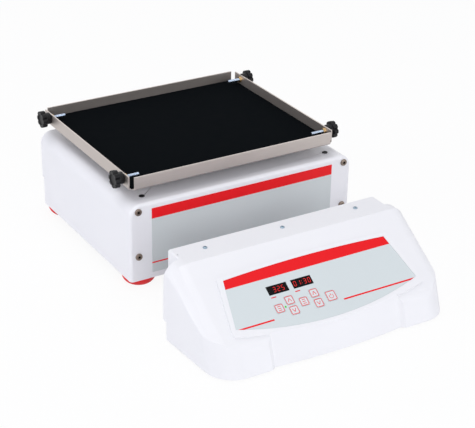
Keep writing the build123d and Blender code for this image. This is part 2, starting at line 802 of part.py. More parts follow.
def make_thumb_inserts():
    """Tapped bushes riveted in the tray's side flanges."""
    solids = []
    for sx in (-1, 1):
        inner = sx * (tray_w / 2 - sheet)
        for sy in (-1, 1):
            bush = along_x(insert_r, inner, inner - sx * insert_lip, sy * thumb_y, thumb_z)
            bush += along_x(insert_r - 1, inner, sx * tray_w / 2, sy * thumb_y, thumb_z)
            bush -= along_x(stud_r + run_gap, inner - sx * 10, sx * (tray_w / 2 + 5), sy * thumb_y, thumb_z)
            solids.append(at_tray(bush))
    return group(solids)


def make_thumb_stud(sx, sy):
    """Stud of a thumbscrew, chamfered at its ends and let into its knob."""
    tip = sx * (tray_w / 2 - sheet - stud_reach)
    end = sx * (tray_w / 2 + free_gap + neck_l + knob_l * 0.6)
    stud = along_x(stud_r, tip, end, sy * thumb_y, thumb_z)
    stud = chamfer(stud.edges().filter_by(GeomType.CIRCLE), 0.6)
    return at_tray(stud)


def make_thumb_knob(sx, sy):
    """Lobed moulded knob on its neck."""
    face = tray_w / 2 + free_gap
    grip = Circle(knob_r)
    for i in range(knob_lobes):
        a = radians((i + 0.5) * 360 / knob_lobes)
        grip -= Pos((knob_r + 1.6) * cos(a), (knob_r + 1.6) * sin(a)) * Circle(lobe_cut_r)
    head = extrude(grip, knob_l)
    head = Pos(0, 0, neck_l) * head
    neck = Cylinder(neck_r, neck_l, align=(Align.CENTER, Align.CENTER, Align.MIN))
    neck = chamfer(neck.edges().group_by(Axis.Z)[0], 0.8)
    knob = head + neck
    knob -= disc(knob_r - 5.5, neck_l + knob_l - 1.5, neck_l + knob_l + 1)
    knob -= disc(stud_r + run_gap, -1, neck_l + knob_l * 0.6 + free_gap)
    return at_tray(Pos(sx * face, sy * thumb_y, thumb_z) * Rot(0, sx * 90, 0) * knob)


# ---------------------------------------------------------------- console shell

def console_outline(inset):
    """Plan at the rim: straight sides, round cheeks and a bowed middle, set in by a wall."""
    back = -neck_d
    hb, hf = body_half_back - inset, body_half_front - inset
    cheek, notch, bow = -cheek_front + inset, -notch_front + inset, -bow_front + inset
    end = notch_half + inset
    step = end + cheek_step
    edge = Polyline((-hb, back), (-hf, cheek), (-step, cheek), (-end, notch))
    edge += ThreePointArc((-end, notch), (0, bow), (end, notch))
    edge += Polyline((end, notch), (step, cheek), (hf, cheek), (hb, back), (-hb, back))
    face = make_face(edge)
    rounds = ((hf, cheek, cheek_r - inset), (step, cheek, step_round - inset),
              (end, notch, step_round + inset))
    for half, y, radius in rounds:
        face = fillet([v for v in face.vertices() if abs(abs(v.X) - half) < 1 and abs(v.Y - y) < 1], radius)
    return face


def console_form(inset):
    """Plan drawn up along the lean of the front, so the sides stay nearly upright."""
    lean = radians(front_draft)
    low = console_low if inset == 0 else console_low - 1
    length = (shelf_z + 12 - low) / cos(lean)
    form = Pos(0, 0, low) * extrude(console_outline(inset), length, dir=(0, sin(lean), cos(lean)))
    return form & block((-housing_w, housing_w), (-housing_w, -neck_d - inset), (0, housing_w))


def rolled_arch(inset):
    """Arch whose rounded shoulders roll a side over into the face above it; crown at y = 0."""
    half = body_half_back - 1.0 - inset
    plate = Rectangle(2 * half, housing_w, align=(Align.CENTER, Align.MAX))
    return fillet(plate.vertices().group_by(Axis.Y)[-1], console_round - inset)


def console_body(inset):
    """Console form under its flat shelf and its slope, both with rolled sides."""
    body = console_form(inset)
    arch_face = rolled_arch(inset)
    body &= extrude(Plane(origin=(0, 0, shelf_z - inset), x_dir=(1, 0, 0), z_dir=(0, -1, 0)) * arch_face,
                    housing_w, both=True)
    a = radians(slope_angle)
    y, z = overlay_top_y + inset * sin(a), overlay_top_z - inset * cos(a)
    down_slope = Plane(origin=(0, y, z), x_dir=(1, 0, 0), z_dir=(0, -cos(a), -sin(a)))
    return body & extrude(down_slope * arch_face, housing_w, both=True)


def nose_cut(side):
    """What is taken off a cheek to round its upper edge."""
    a, f = radians(slope_angle), radians(front_draft)
    # where the slope meets the leaning cheek front
    drop = (overlay_top_y + cheek_front + console_low * tan(f)) * tan(a)
    nose_z = (overlay_top_z - drop) / (1 - tan(f) * tan(a))
    nose_y = -cheek_front + (nose_z - console_low) * tan(f)
    turn = pi / 2 - f - a
    reach = nose_round * tan(turn / 2)
    upper = (nose_y + reach * cos(a), nose_z + reach * sin(a))
    lower = (nose_y - reach * sin(f), nose_z - reach * cos(f))
    bisect = (a + pi / 2 - f) / 2
    depth = reach * tan(turn / 4)
    middle = ((upper[0] + lower[0]) / 2 - depth * sin(bisect),
              (upper[1] + lower[1]) / 2 + depth * cos(bisect))
    far = 10.0
    out_upper = (upper[0] - far * sin(a), upper[1] + far * cos(a))
    out_lower = (lower[0] - far * cos(f), lower[1] + far * sin(f))
    edge = ThreePointArc(upper, middle, lower) + Polyline(lower, out_lower, out_upper, upper)
    prism = extrude(Plane.YZ * make_face(edge), body_half_back)
    return Pos(notch_half, 0, 0) * prism if side > 0 else Pos(-notch_half - body_half_back, 0, 0) * prism


def make_console_shell():
    """Moulded console housing, open at its back and below."""
    body = console_body(0) - nose_cut(-1) - nose_cut(1)
    neck = block((-shelf_half, shelf_half), (-neck_d - 14, 0), (console_low, shelf_z))
    body += fillet(neck.edges().filter_by(Axis.Y).group_by(Axis.Z)[-1], 3.0)
    inner = console_body(console_wall)
    inner_half = shelf_half - console_wall
    inner += block((-inner_half, inner_half), (-neck_d - 20, 1), (console_low - 1, shelf_z - console_wall))
    for side in (-1, 1):
        body -= block(sorted((side * shelf_half, side * housing_w)), (-neck_d - console_recess_d, 1),
                      (0, console_recess_z))
        inner -= block(sorted((side * inner_half, side * housing_w)),
                       (-neck_d - console_recess_d - console_wall, 1), (0, console_recess_z + console_wall))
    body = console * (body - inner)
    body += raised_bezel()
    body -= overlay_cut(bezel_lift - overlay_t - overlay_sink, 5.0)
    for x, down, size in key_places.values():
        body -= slope * Pos(x, -down, -6) * extrude(Rectangle(size + 2, size + 2), 12)
    for x in display_x:
        body -= slope * Pos(x, -display_down, -6) * extrude(Rectangle(display_w + 1, display_h + 1), 12)
    body -= slope * Pos(lamp_at[0], -lamp_at[1], -6) * extrude(Circle(lamp_r + slip_gap), 12)
    for x in (-shelf_screw_x, 0, shelf_screw_x):
        body -= console * disc(shelf_shank_r + slip_gap, shelf_z - 6, shelf_z + 1, (x, shelf_screw_y))
    body -= console * disc(pilot_r, shelf_z - console_wall - 1, shelf_z + 1, pilot_at)
    for x in (-board_w / 2 + 4, board_w / 2 - 4):
        for y in (-board_h / 2 + 4, board_h / 2 - 4):
            pillar = Circle(3.0) - Circle(1.2)
            body += slope * Pos(board_x + x, -board_down + y, -board_drop) * extrude(pillar, board_drop - 1)
    return body


def bezel_face(half_top, half_low, up, low, bow):
    """Trapezium on the slope with bowed upper and lower edges."""
    edge = Line((-half_low, -low), (-half_top, up))
    edge += ThreePointArc((-half_top, up), (0, up + panel_rise), (half_top, up))
    edge += Line((half_top, up), (half_low, -low))
    edge += ThreePointArc((half_low, -low), (0, -low - bow), (-half_low, -low))
    return make_face(edge)


def raised_bezel():
    """Raised frame round the key panel, trimmed by the console's front."""
    face = bezel_face(bezel_half_top, bezel_half_low, bezel_up, bezel_low, bezel_bow)
    face = fillet(face.vertices(), 4.0)
    plate = slope * Pos(0, 0, -1.0) * extrude(face, bezel_lift + 1.0)
    return plate & (console * console_form(0))


def overlay_cut(low, height):
    """Recess that the overlay lies in."""
    face = bezel_face(overlay_half_top + seat_gap, overlay_half_low + seat_gap, seat_gap,
                      overlay_side + seat_gap, overlay_bow)
    return slope * Pos(0, 0, low) * extrude(face, height)


def make_console_overlay():
    """Printed key panel with windows for the keys and displays."""
    face = bezel_face(overlay_half_top, overlay_half_low, 0, overlay_side, overlay_bow)
    for x, down, size in key_places.values():
        face -= Pos(x, -down) * fillet(Rectangle(size + 2 * free_gap, size + 2 * free_gap).vertices(), 1.5)
    for x in display_x:
        face -= Pos(x, -display_down) * Rectangle(display_w, display_h)
    face -= Pos(lamp_at[0], -lamp_at[1]) * Circle(lamp_r + slip_gap)
    return slope * Pos(0, 0, bezel_lift - overlay_t - overlay_sink) * extrude(face, overlay_t)


def make_key(name):
    """Key pad in its window, standing a little proud of the overlay."""
    x, down, size = key_places[name]
    top = bezel_lift - overlay_sink + key_proud
    pad = fillet(Rectangle(size, size).vertices(), 1.2)
    return slope * Pos(x, -down, top - key_t) * extrude(pad, key_t)


def make_display_windows():
    """Dark filters flush with the overlay."""
    top = bezel_lift - overlay_sink
    pane = extrude(Rectangle(display_w - slip_gap * 2, display_h - slip_gap * 2), window_t)
    return group([slope * Pos(x, -display_down, top - window_t) * pane for x in display_x])


def make_status_lamp():
    top = bezel_lift - overlay_sink
    return slope * Pos(lamp_at[0], -lamp_at[1], -board_drop) * extrude(Circle(lamp_r), top + board_drop)


def make_display_board():
    """Board behind the panel with display blocks and one switch under each key."""
    board = extrude(Rectangle(board_w, board_h), board_t)
    board = slope * Pos(board_x, -board_down, -board_drop - board_t) * board
    block_h = board_drop + bezel_lift - overlay_sink - window_t - free_gap
    for x in display_x:
        face = Rectangle(display_w - 2, display_h - 1)
        board += slope * Pos(x, -display_down, -board_drop) * extrude(face, block_h)
    key_low = bezel_lift - overlay_sink + key_proud - key_t
    for x, down, _ in key_places.values():
        button = extrude(Circle(2.6), key_low + board_drop - key_travel - slip_gap)
        board += slope * Pos(x, -down, -board_drop) * button
    return board


def make_console_floor():
    """Flat bottom plate inside the console rim."""
    edge = console_wall + seat_gap
    half = shelf_half - edge
    high = console_low + floor_t
    plate = console_form(edge) & block((-housing_w, housing_w), (-housing_w, 0), (console_low, high))
    plate += block((-half, half), (-neck_d - 12, -panel_t), (console_low, high))
    for side in (-1, 1):
        plate -= block(sorted((side * half, side * housing_w)), (-neck_d - console_recess_d - edge, 1),
                       (0, high + 1))
    for x, y in console_foot_places():
        plate -= disc(screw_r * 0.6 + slip_gap, 0, high + 1, (x, y))
    return console * plate


def console_foot_places():
    return [(sx * (shelf_half - console_foot_inset), -y) for sx in (-1, 1) for y in console_foot_rows]


def make_console_feet():
    """Thin round pads with a screw each, under the bottom plate."""
    pad = disc(console_foot_r, 0, console_low) + disc(screw_r * 0.6, 0, console_low + 7)
    return group([console * Pos(x, y, 0) * pad for x, y in console_foot_places()])


def make_console_back():
    """Sheet back panel with a flange turned in under the shelf."""
    half = shelf_half - console_wall - seat_gap
    top = shelf_z - console_wall
    panel = block((-half, half), (-panel_t, 0), (console_low, top))
    panel += block((-half, half), (-30.0, 0), (top - panel_t, top))
    panel -= block((inlet_x - inlet_w / 2, inlet_x + inlet_w / 2), (-5, 1),
                   (inlet_z - inlet_h / 2, inlet_z + inlet_h / 2))
    half_w, half_h = switch_w / 2 - switch_lip, switch_h / 2 - switch_lip
    panel -= block((switch_x - half_w, switch_x + half_w), (-5, 1), (switch_z - half_h, switch_z + half_h))
    panel -= block((socket_x - socket_w / 2, socket_x + socket_w / 2), (-5, 1),
                   (socket_z - socket_h / 2, socket_z + socket_h / 2))
    for x in (-shelf_screw_x, 0, shelf_screw_x):
        panel -= disc(shelf_shank_r + slip_gap, top - 5, top + 1, (x, shelf_screw_y))
    for col in range(7):
        for row in range(2):
            panel -= block((100.0 + col * 6, 102.5 + col * 6), (-5, 1), (30.0 + row * 26, 50.0 + row * 26))
    return console * panel


def make_shelf_screws():
    """Pan-head screws through the shelf into the back panel's flange."""
    screw = cap_screw(shelf_screw_r, 1.6, shelf_shank_r, shelf_shank_l, 1.3)
    return group([console * Pos(x, shelf_screw_y, shelf_z) * screw
                  for x in (-shelf_screw_x, 0, shelf_screw_x)])


def make_power_inlet():
    """Mains inlet: flange outside the panel, body behind it, cavity open to the back."""
    flange = block((inlet_x - 25, inlet_x + 25), (0, 3), (inlet_z - 13, inlet_z + 13))
    flange = fillet(flange.edges().filter_by(Axis.Y), 4.0)
    half_w, half_h = inlet_w / 2 - lip_gap, inlet_h / 2 - lip_gap
    body = block((inlet_x - half_w, inlet_x + half_w), (-inlet_depth, 0),
                 (inlet_z - half_h, inlet_z + half_h))
    cavity = block((inlet_x - cavity_w / 2, inlet_x + cavity_w / 2), (3 - cavity_depth, 4),
                   (inlet_z - cavity_h / 2, inlet_z + cavity_h / 2))
    cavity = chamfer(cavity.edges().filter_by(Axis.Y).group_by(Axis.Z)[-1], 4.0)
    inlet = flange + body - cavity
    for side in (-1, 1):
        inlet -= along_y(inlet_screw_r, -1, 4, inlet_x + side * inlet_screw_x, inlet_z)
    return console * inlet


def make_inlet_blades():
    """Three contact blades standing in the inlet."""
    floor = 3 - cavity_depth
    solids = []
    for across, up in ((-7.0, -2.0), (0.0, 2.0), (7.0, -2.0)):
        solids.append(console * block((inlet_x + across - 1.0, inlet_x + across + 1.0),
                                      (floor, floor + blade_l),
                                      (inlet_z + up - 2.0, inlet_z + up + 2.0)))
    return group(solids)


def make_switch_body():
    """Rocker switch frame with its pocket and pivot holes."""
    half_w, half_h = switch_w / 2, switch_h / 2
    frame = block((switch_x - half_w, switch_x + half_w), (0, 2), (switch_z - half_h, switch_z + half_h))
    half_w, half_h = half_w - switch_lip - lip_gap, half_h - switch_lip - lip_gap
    frame += block((switch_x - half_w, switch_x + half_w), (-18, 0), (switch_z - half_h, switch_z + half_h))
    half_w, half_h = rocker_w / 2 + free_gap / 2, rocker_h / 2 + 1.5
    frame -= block((switch_x - half_w, switch_x + half_w), (-10, 3), (switch_z - half_h, switch_z + half_h))
    axle_half = rocker_w / 2 + 1.2
    frame -= along_x(axle_r + run_gap, switch_x - axle_half, switch_x + axle_half, -2, switch_z)
    return console * frame


def make_rocker():
    """Rocker tilted to its off side, turning on two short pins."""
    half = rocker_h / 2
    profile = Polyline((-half, 4.6), (0, 2.6), (half, 4.6), (half - 3, -2.0), (3.0, -5.6), (-3.0, -5.6),
                       (-half + 3, -2.0), (-half, 4.6))
    paddle = extrude(make_face(profile), rocker_w / 2, both=True)
    axle = Cylinder(axle_r, rocker_w + 2.0)
    rocker = paddle + axle
    # the profile's x runs up and its y points out of the back
    return console * Pos(switch_x, -2, switch_z) * Rot(-rocker_throw / 2, 0, 0) * Rot(0, 90, 0) * rocker


def make_power_board():
    """Supply board on the console floor with transformer, fuse and capacitors."""
    low = console_low + floor_t
    top = low + supply_spacer_h + board_t
    board = block(supply_x, supply_y, (low + supply_spacer_h, top))
    for x in (supply_x[0] + spacer_inset, supply_x[1] - spacer_inset):
        for y in (supply_y[0] + spacer_inset, supply_y[1] - spacer_inset):
            board += disc(spacer_r, low, low + supply_spacer_h, (x, y))
    core_x, core_y = supply_x[0] + 0.7 * transformer_w, supply_y[1] - 0.7 * transformer_w
    half = transformer_w / 2
    board += block((core_x - half, core_x + half), (core_y - half, core_y + half),
                   (top, top + transformer_h))
    board += block((core_x - 0.6 * half, core_x + 0.6 * half), (core_y - 1.2 * half, core_y + 1.2 * half),
                   (top + 0.15 * transformer_h, top + 0.8 * transformer_h))
    cap_r, cap_h = 6.5, 22.4
    for column in (1, 2):
        board += disc(cap_r, top, top + cap_h, (core_x + half + column * 2.5 * cap_r, core_y + cap_r))
    fuse_x = supply_x[1] - transformer_w
    board += block((fuse_x - 5, fuse_x + 25), (core_y - half, core_y + 10),
                   (top, top + 0.4 * transformer_h))
    return console * board


# ---------------------------------------------------------------- all nodes

def build_parts():
    parts["base_pan"] = make_base_pan()
    parts["feet"] = make_feet()
    parts["foot_screws"] = make_foot_screws()
    parts["top_cover"] = make_top_cover()
    parts["front_label"] = make_front_label()
    parts["front_screws"] = make_front_screws()
    parts["top_screws"] = make_top_screws()
    parts["cover_brackets"] = make_cover_brackets()
    parts["deck_plate"] = make_deck_plate()
    parts["deck_posts"] = make_deck_posts()
    parts["deck_screws"] = make_deck_screws()
    parts["crank_housings"] = make_crank_housings()
    parts["shaft_bearings"] = make_shaft_bearings()
    parts["drive_motor"] = make_motor()
    parts["driver_board"] = make_driver_board()
    parts["speed_sensor"] = make_speed_sensor()
    parts["link_sockets"] = make_link_sockets()
    parts["drive_belt"] = make_drive_belt()
    parts["drive_crank"] = make_drive_crank()
    parts["counterweight"] = make_counterweight()
    parts["drive_pulley"] = make_drive_pulley()
    parts["idler_crank_left"] = make_idler(0)
    parts["idler_crank_right"] = make_idler(1)
    parts["motor_shaft"] = make_motor_shaft()
    parts["motor_pulley"] = make_motor_pulley()
    parts["platform_frame"] = make_platform_frame()
    parts["hub_bearings"] = make_hub_bearings()
    parts["tray"] = make_tray()
    parts["tray_screws"] = make_tray_screws()
    parts["tray_mat"] = make_tray_mat()
    parts["thumb_inserts"] = make_thumb_inserts()
    for row, sy in (("front", -1), ("rear", 1)):
        for side, sx in (("left", -1), ("right", 1)):
            parts[f"thumb_stud_{row}_{side}"] = make_thumb_stud(sx, sy)
            parts[f"thumb_knob_{row}_{side}"] = make_thumb_knob(sx, sy)
    parts["console_shell"] = make_console_shell()
    parts["console_overlay"] = make_console_overlay()
    parts["display_windows"] = make_display_windows()
    parts["status_lamp"] = make_status_lamp()
    for name in key_places:
        parts[name] = make_key(name)
    parts["display_board"] = make_display_board()
    parts["power_board"] = make_power_board()
    parts["console_floor"] = make_console_floor()
    parts["console_feet"] = make_console_feet()
    parts["console_back"] = make_console_back()
    parts["shelf_screws"] = make_shelf_screws()
    parts["power_inlet"] = make_power_inlet()
    parts["inlet_blades"] = make_inlet_blades()
    parts["switch_body"] = make_switch_body()
    parts["switch_rocker"] = make_rocker()


build_parts()
os.makedirs("parts", exist_ok=True)
for node, shape in parts.items():
    export_step(shape, f"parts/{node}.step")
print(len(parts), "nodes written")
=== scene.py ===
import json
import math

import bmesh
import bpy
import mathutils
import numpy as np
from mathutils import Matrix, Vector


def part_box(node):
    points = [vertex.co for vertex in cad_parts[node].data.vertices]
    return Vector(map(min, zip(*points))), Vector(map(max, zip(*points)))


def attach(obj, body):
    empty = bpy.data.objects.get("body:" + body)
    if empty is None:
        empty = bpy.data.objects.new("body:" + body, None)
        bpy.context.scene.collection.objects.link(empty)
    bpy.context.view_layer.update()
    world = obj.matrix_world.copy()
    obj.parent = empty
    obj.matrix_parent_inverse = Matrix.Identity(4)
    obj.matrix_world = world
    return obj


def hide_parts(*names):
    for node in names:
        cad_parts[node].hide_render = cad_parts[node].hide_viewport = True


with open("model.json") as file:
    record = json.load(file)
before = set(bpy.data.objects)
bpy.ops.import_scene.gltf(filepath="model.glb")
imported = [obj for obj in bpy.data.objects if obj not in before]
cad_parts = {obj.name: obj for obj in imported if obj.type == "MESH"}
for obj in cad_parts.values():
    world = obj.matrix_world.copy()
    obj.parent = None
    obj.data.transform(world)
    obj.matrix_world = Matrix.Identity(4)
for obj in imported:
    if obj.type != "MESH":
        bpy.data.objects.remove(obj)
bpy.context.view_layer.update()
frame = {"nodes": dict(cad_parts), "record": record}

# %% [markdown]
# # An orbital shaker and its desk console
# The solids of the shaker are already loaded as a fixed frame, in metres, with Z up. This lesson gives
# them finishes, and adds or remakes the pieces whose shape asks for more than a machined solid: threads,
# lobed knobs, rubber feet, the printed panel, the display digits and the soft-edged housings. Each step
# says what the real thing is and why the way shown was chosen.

nodes = frame["nodes"]
slot_of = {row["node"]: row["material_slot"] for row in frame["record"]["subparts"]}
members_of = frame["record"]["behaviour"]["bodies"]
body_of = {node: body for body, members in members_of.items() for node in members}

# %% [markdown]
# ## Shader maths as expressions
# A finish is a small calculation: "red where the height is over this line, else grey". Written as bare
# nodes such a line takes a page. One class wraps a socket and overloads the operators, so that the maths
# reads as it would in Python. Colours never go through it, because a Math node turns a colour grey.


# %% A value that varies over a surface
class Field:
    """A number that varies over a surface. Each operation on it adds one Math node."""

    def __init__(self, finish, socket):
        self.finish = finish
        self.socket = socket

    def math(self, operation, *others):
        values = [other.socket if isinstance(other, Field) else other for other in others]
        inputs = dict(enumerate([self.socket, *values]))
        return Field(self.finish, self.finish.node("ShaderNodeMath", {"operation": operation}, inputs))

    def __add__(self, other):
        return self.math("ADD", other)

    def __sub__(self, other):
        return self.math("SUBTRACT", other)

    def __mul__(self, other):
        return self.math("MULTIPLY", other)

    def __rsub__(self, other):
        inputs = {0: other, 1: self.socket}
        return Field(self.finish, self.finish.node("ShaderNodeMath", {"operation": "SUBTRACT"}, inputs))

    def __abs__(self):
        return self.math("ABSOLUTE")

    def __gt__(self, other):
        return self.math("GREATER_THAN", other)

    def __lt__(self, other):
        return self.math("LESS_THAN", other)

    __radd__ = __add__
    __rmul__ = __mul__

    def sine(self):
        return self.math("SINE")

    def least(self, other):
        return self.math("MINIMUM", other)

    def most(self, other):
        return self.math("MAXIMUM", other)

    def between(self, low, high):
        """1 between two limits, else 0."""
        return (self > low) * (self < high)


# %% [markdown]
# ## One way to add a node
# Every other node comes from a single method: its type, its settings, which are set first because they
# can change the sockets, and then the values or links of its sockets. Object coordinates are used
# throughout, since each piece keeps its place in its mesh, and so a pattern never slides.


# %% A finish and its helpers
class Finish:
    """A material with a Principled shader, and the method that adds nodes to it."""

    def __init__(self, name, **constants):
        self.material = bpy.data.materials.new(name)
        self.material.use_nodes = True
        self.tree = self.material.node_tree
        self.shader = self.tree.nodes["Principled BSDF"]
        for socket, value in constants.items():
            self.shader.inputs[socket.replace("_", " ")].default_value = value

    def node(self, kind, settings=None, inputs=None, output=0):
        made = self.tree.nodes.new(kind)
        for key, value in (settings or {}).items():
            setattr(made, key, value)
        for key, value in (inputs or {}).items():
            if isinstance(value, Field):
                value = value.socket
            if isinstance(value, bpy.types.NodeSocket):
                self.tree.links.new(value, made.inputs[key])
            else:
                made.inputs[key].default_value = value
        return made.outputs[output]

    def place(self):
        """Object coordinates, in metres."""
        return self.node("ShaderNodeTexCoord", output=3)

    def axes(self):
        """The three object coordinates as fields."""
        split = self.node("ShaderNodeSeparateXYZ", inputs={0: self.place()}).node
        return [Field(self, split.outputs[i]) for i in range(3)]

    def noise(self, scale, detail=3.0, stretch=(1.0, 1.0, 1.0), roughness=0.5):
        """Noise from 0 to 1; stretch multiplies the frequency along each axis."""
        where = self.node("ShaderNodeMapping", inputs={"Vector": self.place(), "Scale": stretch})
        inputs = {"Vector": where, "Scale": scale, "Detail": detail, "Roughness": roughness}
        return Field(self, self.node("ShaderNodeTexNoise", inputs=inputs))

    def cells(self, scale, randomness=1.0):
        """Distance to the nearest of many scattered points."""
        inputs = {"Vector": self.place(), "Scale": scale, "Randomness": randomness}
        return Field(self, self.node("ShaderNodeTexVoronoi", inputs=inputs))

    def blend(self, factor, first, second):
        """Colour mix; first where the factor is 0."""
        a, b = [c if isinstance(c, bpy.types.NodeSocket) else (*c, 1.0) for c in (first, second)]
        return self.node("ShaderNodeMix", {"data_type": "RGBA"}, {0: factor, 6: a, 7: b}, output=2)

    def colour(self, socket):
        self.tree.links.new(socket, self.shader.inputs["Base Color"])

    def roughness(self, field):
        self.tree.links.new(field.socket, self.shader.inputs["Roughness"])

    def relief(self, height, depth):
        """Bump whose height field, 0 to 1, stands for a depth in metres."""
        bump = self.node("ShaderNodeBump", inputs={"Strength": 1.0, "Distance": depth, "Height": height})
        self.tree.links.new(bump, self.shader.inputs["Normal"])


finishes = {}
print("shader helpers ready")

# %% [markdown]
# ## White housings
# The shaker's cover is folded steel under white enamel, and the console is a white moulding. Neither is
# one flat white: enamel has a faint orange peel and drifts by a percent or two in tone, and a moulding has
# a fine even grain from its tool. Both are a broad tone noise on the colour and a fine noise in the bump.


# %% Enamel and moulded plastic
def white_finish(name, tone, shade, gloss, grain, grain_depth, coat):
    """Near-white paint or plastic: broad tone drift, fine grain, slight gloss variation."""
    finish = Finish(name, Coat_Weight=coat, Coat_Roughness=0.18, Specular_IOR_Level=0.45)
    drift = finish.noise(14.0, 2.0)
    finish.colour(finish.blend(drift, tone, shade))
    finish.roughness(gloss + 0.08 * finish.noise(40.0, 3.0))
    finish.relief(finish.noise(grain, 2.0), grain_depth)
    return finish


WHITES = {
    "white_housing": ("enamel_white", (0.83, 0.83, 0.86), (0.80, 0.80, 0.84), 0.34, 900.0, 1.2e-5, 0.25),
    "white_console": ("moulding_white", (0.84, 0.84, 0.865), (0.82, 0.82, 0.85), 0.40, 2200.0, 1.5e-5, 0.0),
    "white_panel": ("powder_white", (0.80, 0.80, 0.83), (0.77, 0.77, 0.80), 0.55, 1400.0, 4e-5, 0.0),
    "pan_steel": ("powder_grey", (0.60, 0.60, 0.64), (0.55, 0.55, 0.59), 0.55, 1400.0, 4e-5, 0.0),
}
for slot_name, row in WHITES.items():
    finishes[slot_name] = white_finish(*row)
print("white finishes:", ", ".join(finishes))

# %% [markdown]
# ## Brushed stainless sheet
# The tray is one blank of brushed stainless, cut and folded. The brushing ran across the blank, so on the
# floor and the front and rear flanges its lines run left to right, and on the side flanges they stand
# upright. Long thin noise gives the lines: stretched a hundredfold along the grain.


# %% Brushed tray
def brushed_sheet(name, tone, dark):
    """Metal whose fine lines follow the blank: along X, and upright where the sheet faces X."""
    long_way, short_way = 14.0, 1900.0
    finish = Finish(name, Metallic=1.0, Anisotropic=0.5)
    facing = finish.node("ShaderNodeSeparateXYZ", inputs={0: finish.node("ShaderNodeNewGeometry", output=1)})
    sideways = abs(Field(finish, facing)) > 0.7
    along = finish.noise(1.0, 4.0, (long_way, short_way, short_way), 0.6)
    upright = finish.noise(1.0, 4.0, (short_way, short_way, long_way), 0.6)
    grain = along + sideways * (upright - along)
    cloud = finish.noise(22.0, 3.0)
    finish.colour(finish.blend(0.55 * grain + 0.35 * cloud, dark, tone))
    finish.roughness(0.40 + 0.16 * grain)
    finish.relief(grain, 1.5e-5)
    return finish


SCREW_COLUMN, SCREW_ROWS, SOCKET_R = 0.1653, (0.0502, 0.1172), 0.0019


def socket_heads(name, tone, dark):
    """Oxide-black screw heads; the colour drops to black within a socket radius of the nearest axis, a
    painted shade for the dark hollow of the hex socket.
    """
    finish = Finish(name, Metallic=1.0)
    x, _, z = finish.axes()
    low_row, high_row = SCREW_ROWS
    across, height = abs(x) - SCREW_COLUMN, abs(z - low_row).least(abs(z - high_row))
    # painted shade: a black disc over each socket, standing in for the shadow inside its hollow
    socket_shade = (across * across + height * height) < SOCKET_R ** 2
    wear = finish.noise(500.0, 3.0)
    finish.colour(finish.blend(socket_shade, finish.blend(wear, dark, tone), (0.004, 0.004, 0.005)))
    finish.roughness(0.30 + 0.15 * wear)
    finish.relief(wear, 1e-5)
    return finish


finishes["stainless_sheet"] = brushed_sheet("stainless_brushed", (0.66, 0.60, 0.57), (0.47, 0.43, 0.41))
finishes["bronze_screw"] = socket_heads("brown_oxide", (0.30, 0.24, 0.20), (0.17, 0.14, 0.12))
print("tray and screw finishes ready")

# %% [markdown]
# ## Turned, cast and plated metal
# Inside the housing and at its screws there are plainer metals. Turned faces carry fine lines round their
# upright axis, which are noise squeezed along Z; castings have a pebbled skin; plating is smooth and slightly
# tinted. One function with a grain direction covers them.


# %% Plain metals
def metal(name, tone, dark, gloss, grain, depth, stretch=(1.0, 1.0, 1.0), metallic=1.0):
    """Metal with a grain: tone and roughness follow the same noise as the bump."""
    finish = Finish(name, Metallic=metallic)
    field = finish.noise(grain, 3.0, stretch)
    finish.colour(finish.blend(field, dark, tone))
    finish.roughness(gloss + 0.15 * field)
    finish.relief(field, depth)
    return finish


turned = (1.0, 1.0, 12.0)      # lines lie closer together along Z
finishes.update({
    "zinc_steel": metal("zinc_plate", (0.62, 0.63, 0.65), (0.50, 0.51, 0.53), 0.30, 300.0, 8e-6),
    "black_screw": metal("black_oxide", (0.05, 0.05, 0.055), (0.02, 0.02, 0.02), 0.35, 500.0, 1e-5),
    "blue_zinc_screw": metal("blue_zinc", (0.36, 0.46, 0.54), (0.22, 0.29, 0.36), 0.28, 500.0, 1e-5),
    "cast_aluminium": metal("cast_skin", (0.58, 0.59, 0.60), (0.46, 0.47, 0.48), 0.45, 420.0, 6e-5),
    "turned_aluminium": metal(
        "turned_rings", (0.78, 0.79, 0.80), (0.66, 0.67, 0.68), 0.22, 160.0, 1e-5, turned),
    "bearing_steel": metal(
        "polished_ring", (0.72, 0.73, 0.75), (0.64, 0.65, 0.67), 0.12, 160.0, 3e-6, turned),
    "ground_steel": metal("ground_bar", (0.60, 0.61, 0.63), (0.50, 0.51, 0.53), 0.20, 200.0, 6e-6, turned),
    "bright_contact": metal("tinned_blade", (0.74, 0.72, 0.66), (0.64, 0.62, 0.56), 0.25, 300.0, 5e-6),
    "brass_bush": metal("turned_brass", (0.83, 0.62, 0.33), (0.66, 0.46, 0.22), 0.22, 260.0, 8e-6),
    "bright_stud": metal("bright_thread", (0.62, 0.71, 0.84), (0.45, 0.53, 0.66), 0.18, 400.0, 6e-6),
})
print(len(finishes), "finishes so far")

# %% [markdown]
# ## Rubber and dark mouldings
# The mat is a thin dark rubber with a fine cross-ribbed face that keeps glass from sliding. The feet are
# bright red rubber, matte and slightly dusty. Knobs, sockets and the rocker are black mouldings with a
# spark-eroded grain, a little shinier where fingers polish them.


# %% Rubbers and dark plastics
def moulded(name, tone, dark, gloss, grain, depth, spread=0.12, shine=0.4):
    """Moulded rubber or plastic: even colour, pebbled by small cells."""
    finish = Finish(name, Specular_IOR_Level=shine)
    broad = finish.noise(30.0, 3.0)
    finish.colour(finish.blend(broad, dark, tone))
    finish.roughness(gloss + spread * broad)
    finish.relief(finish.cells(grain), depth)
    return finish


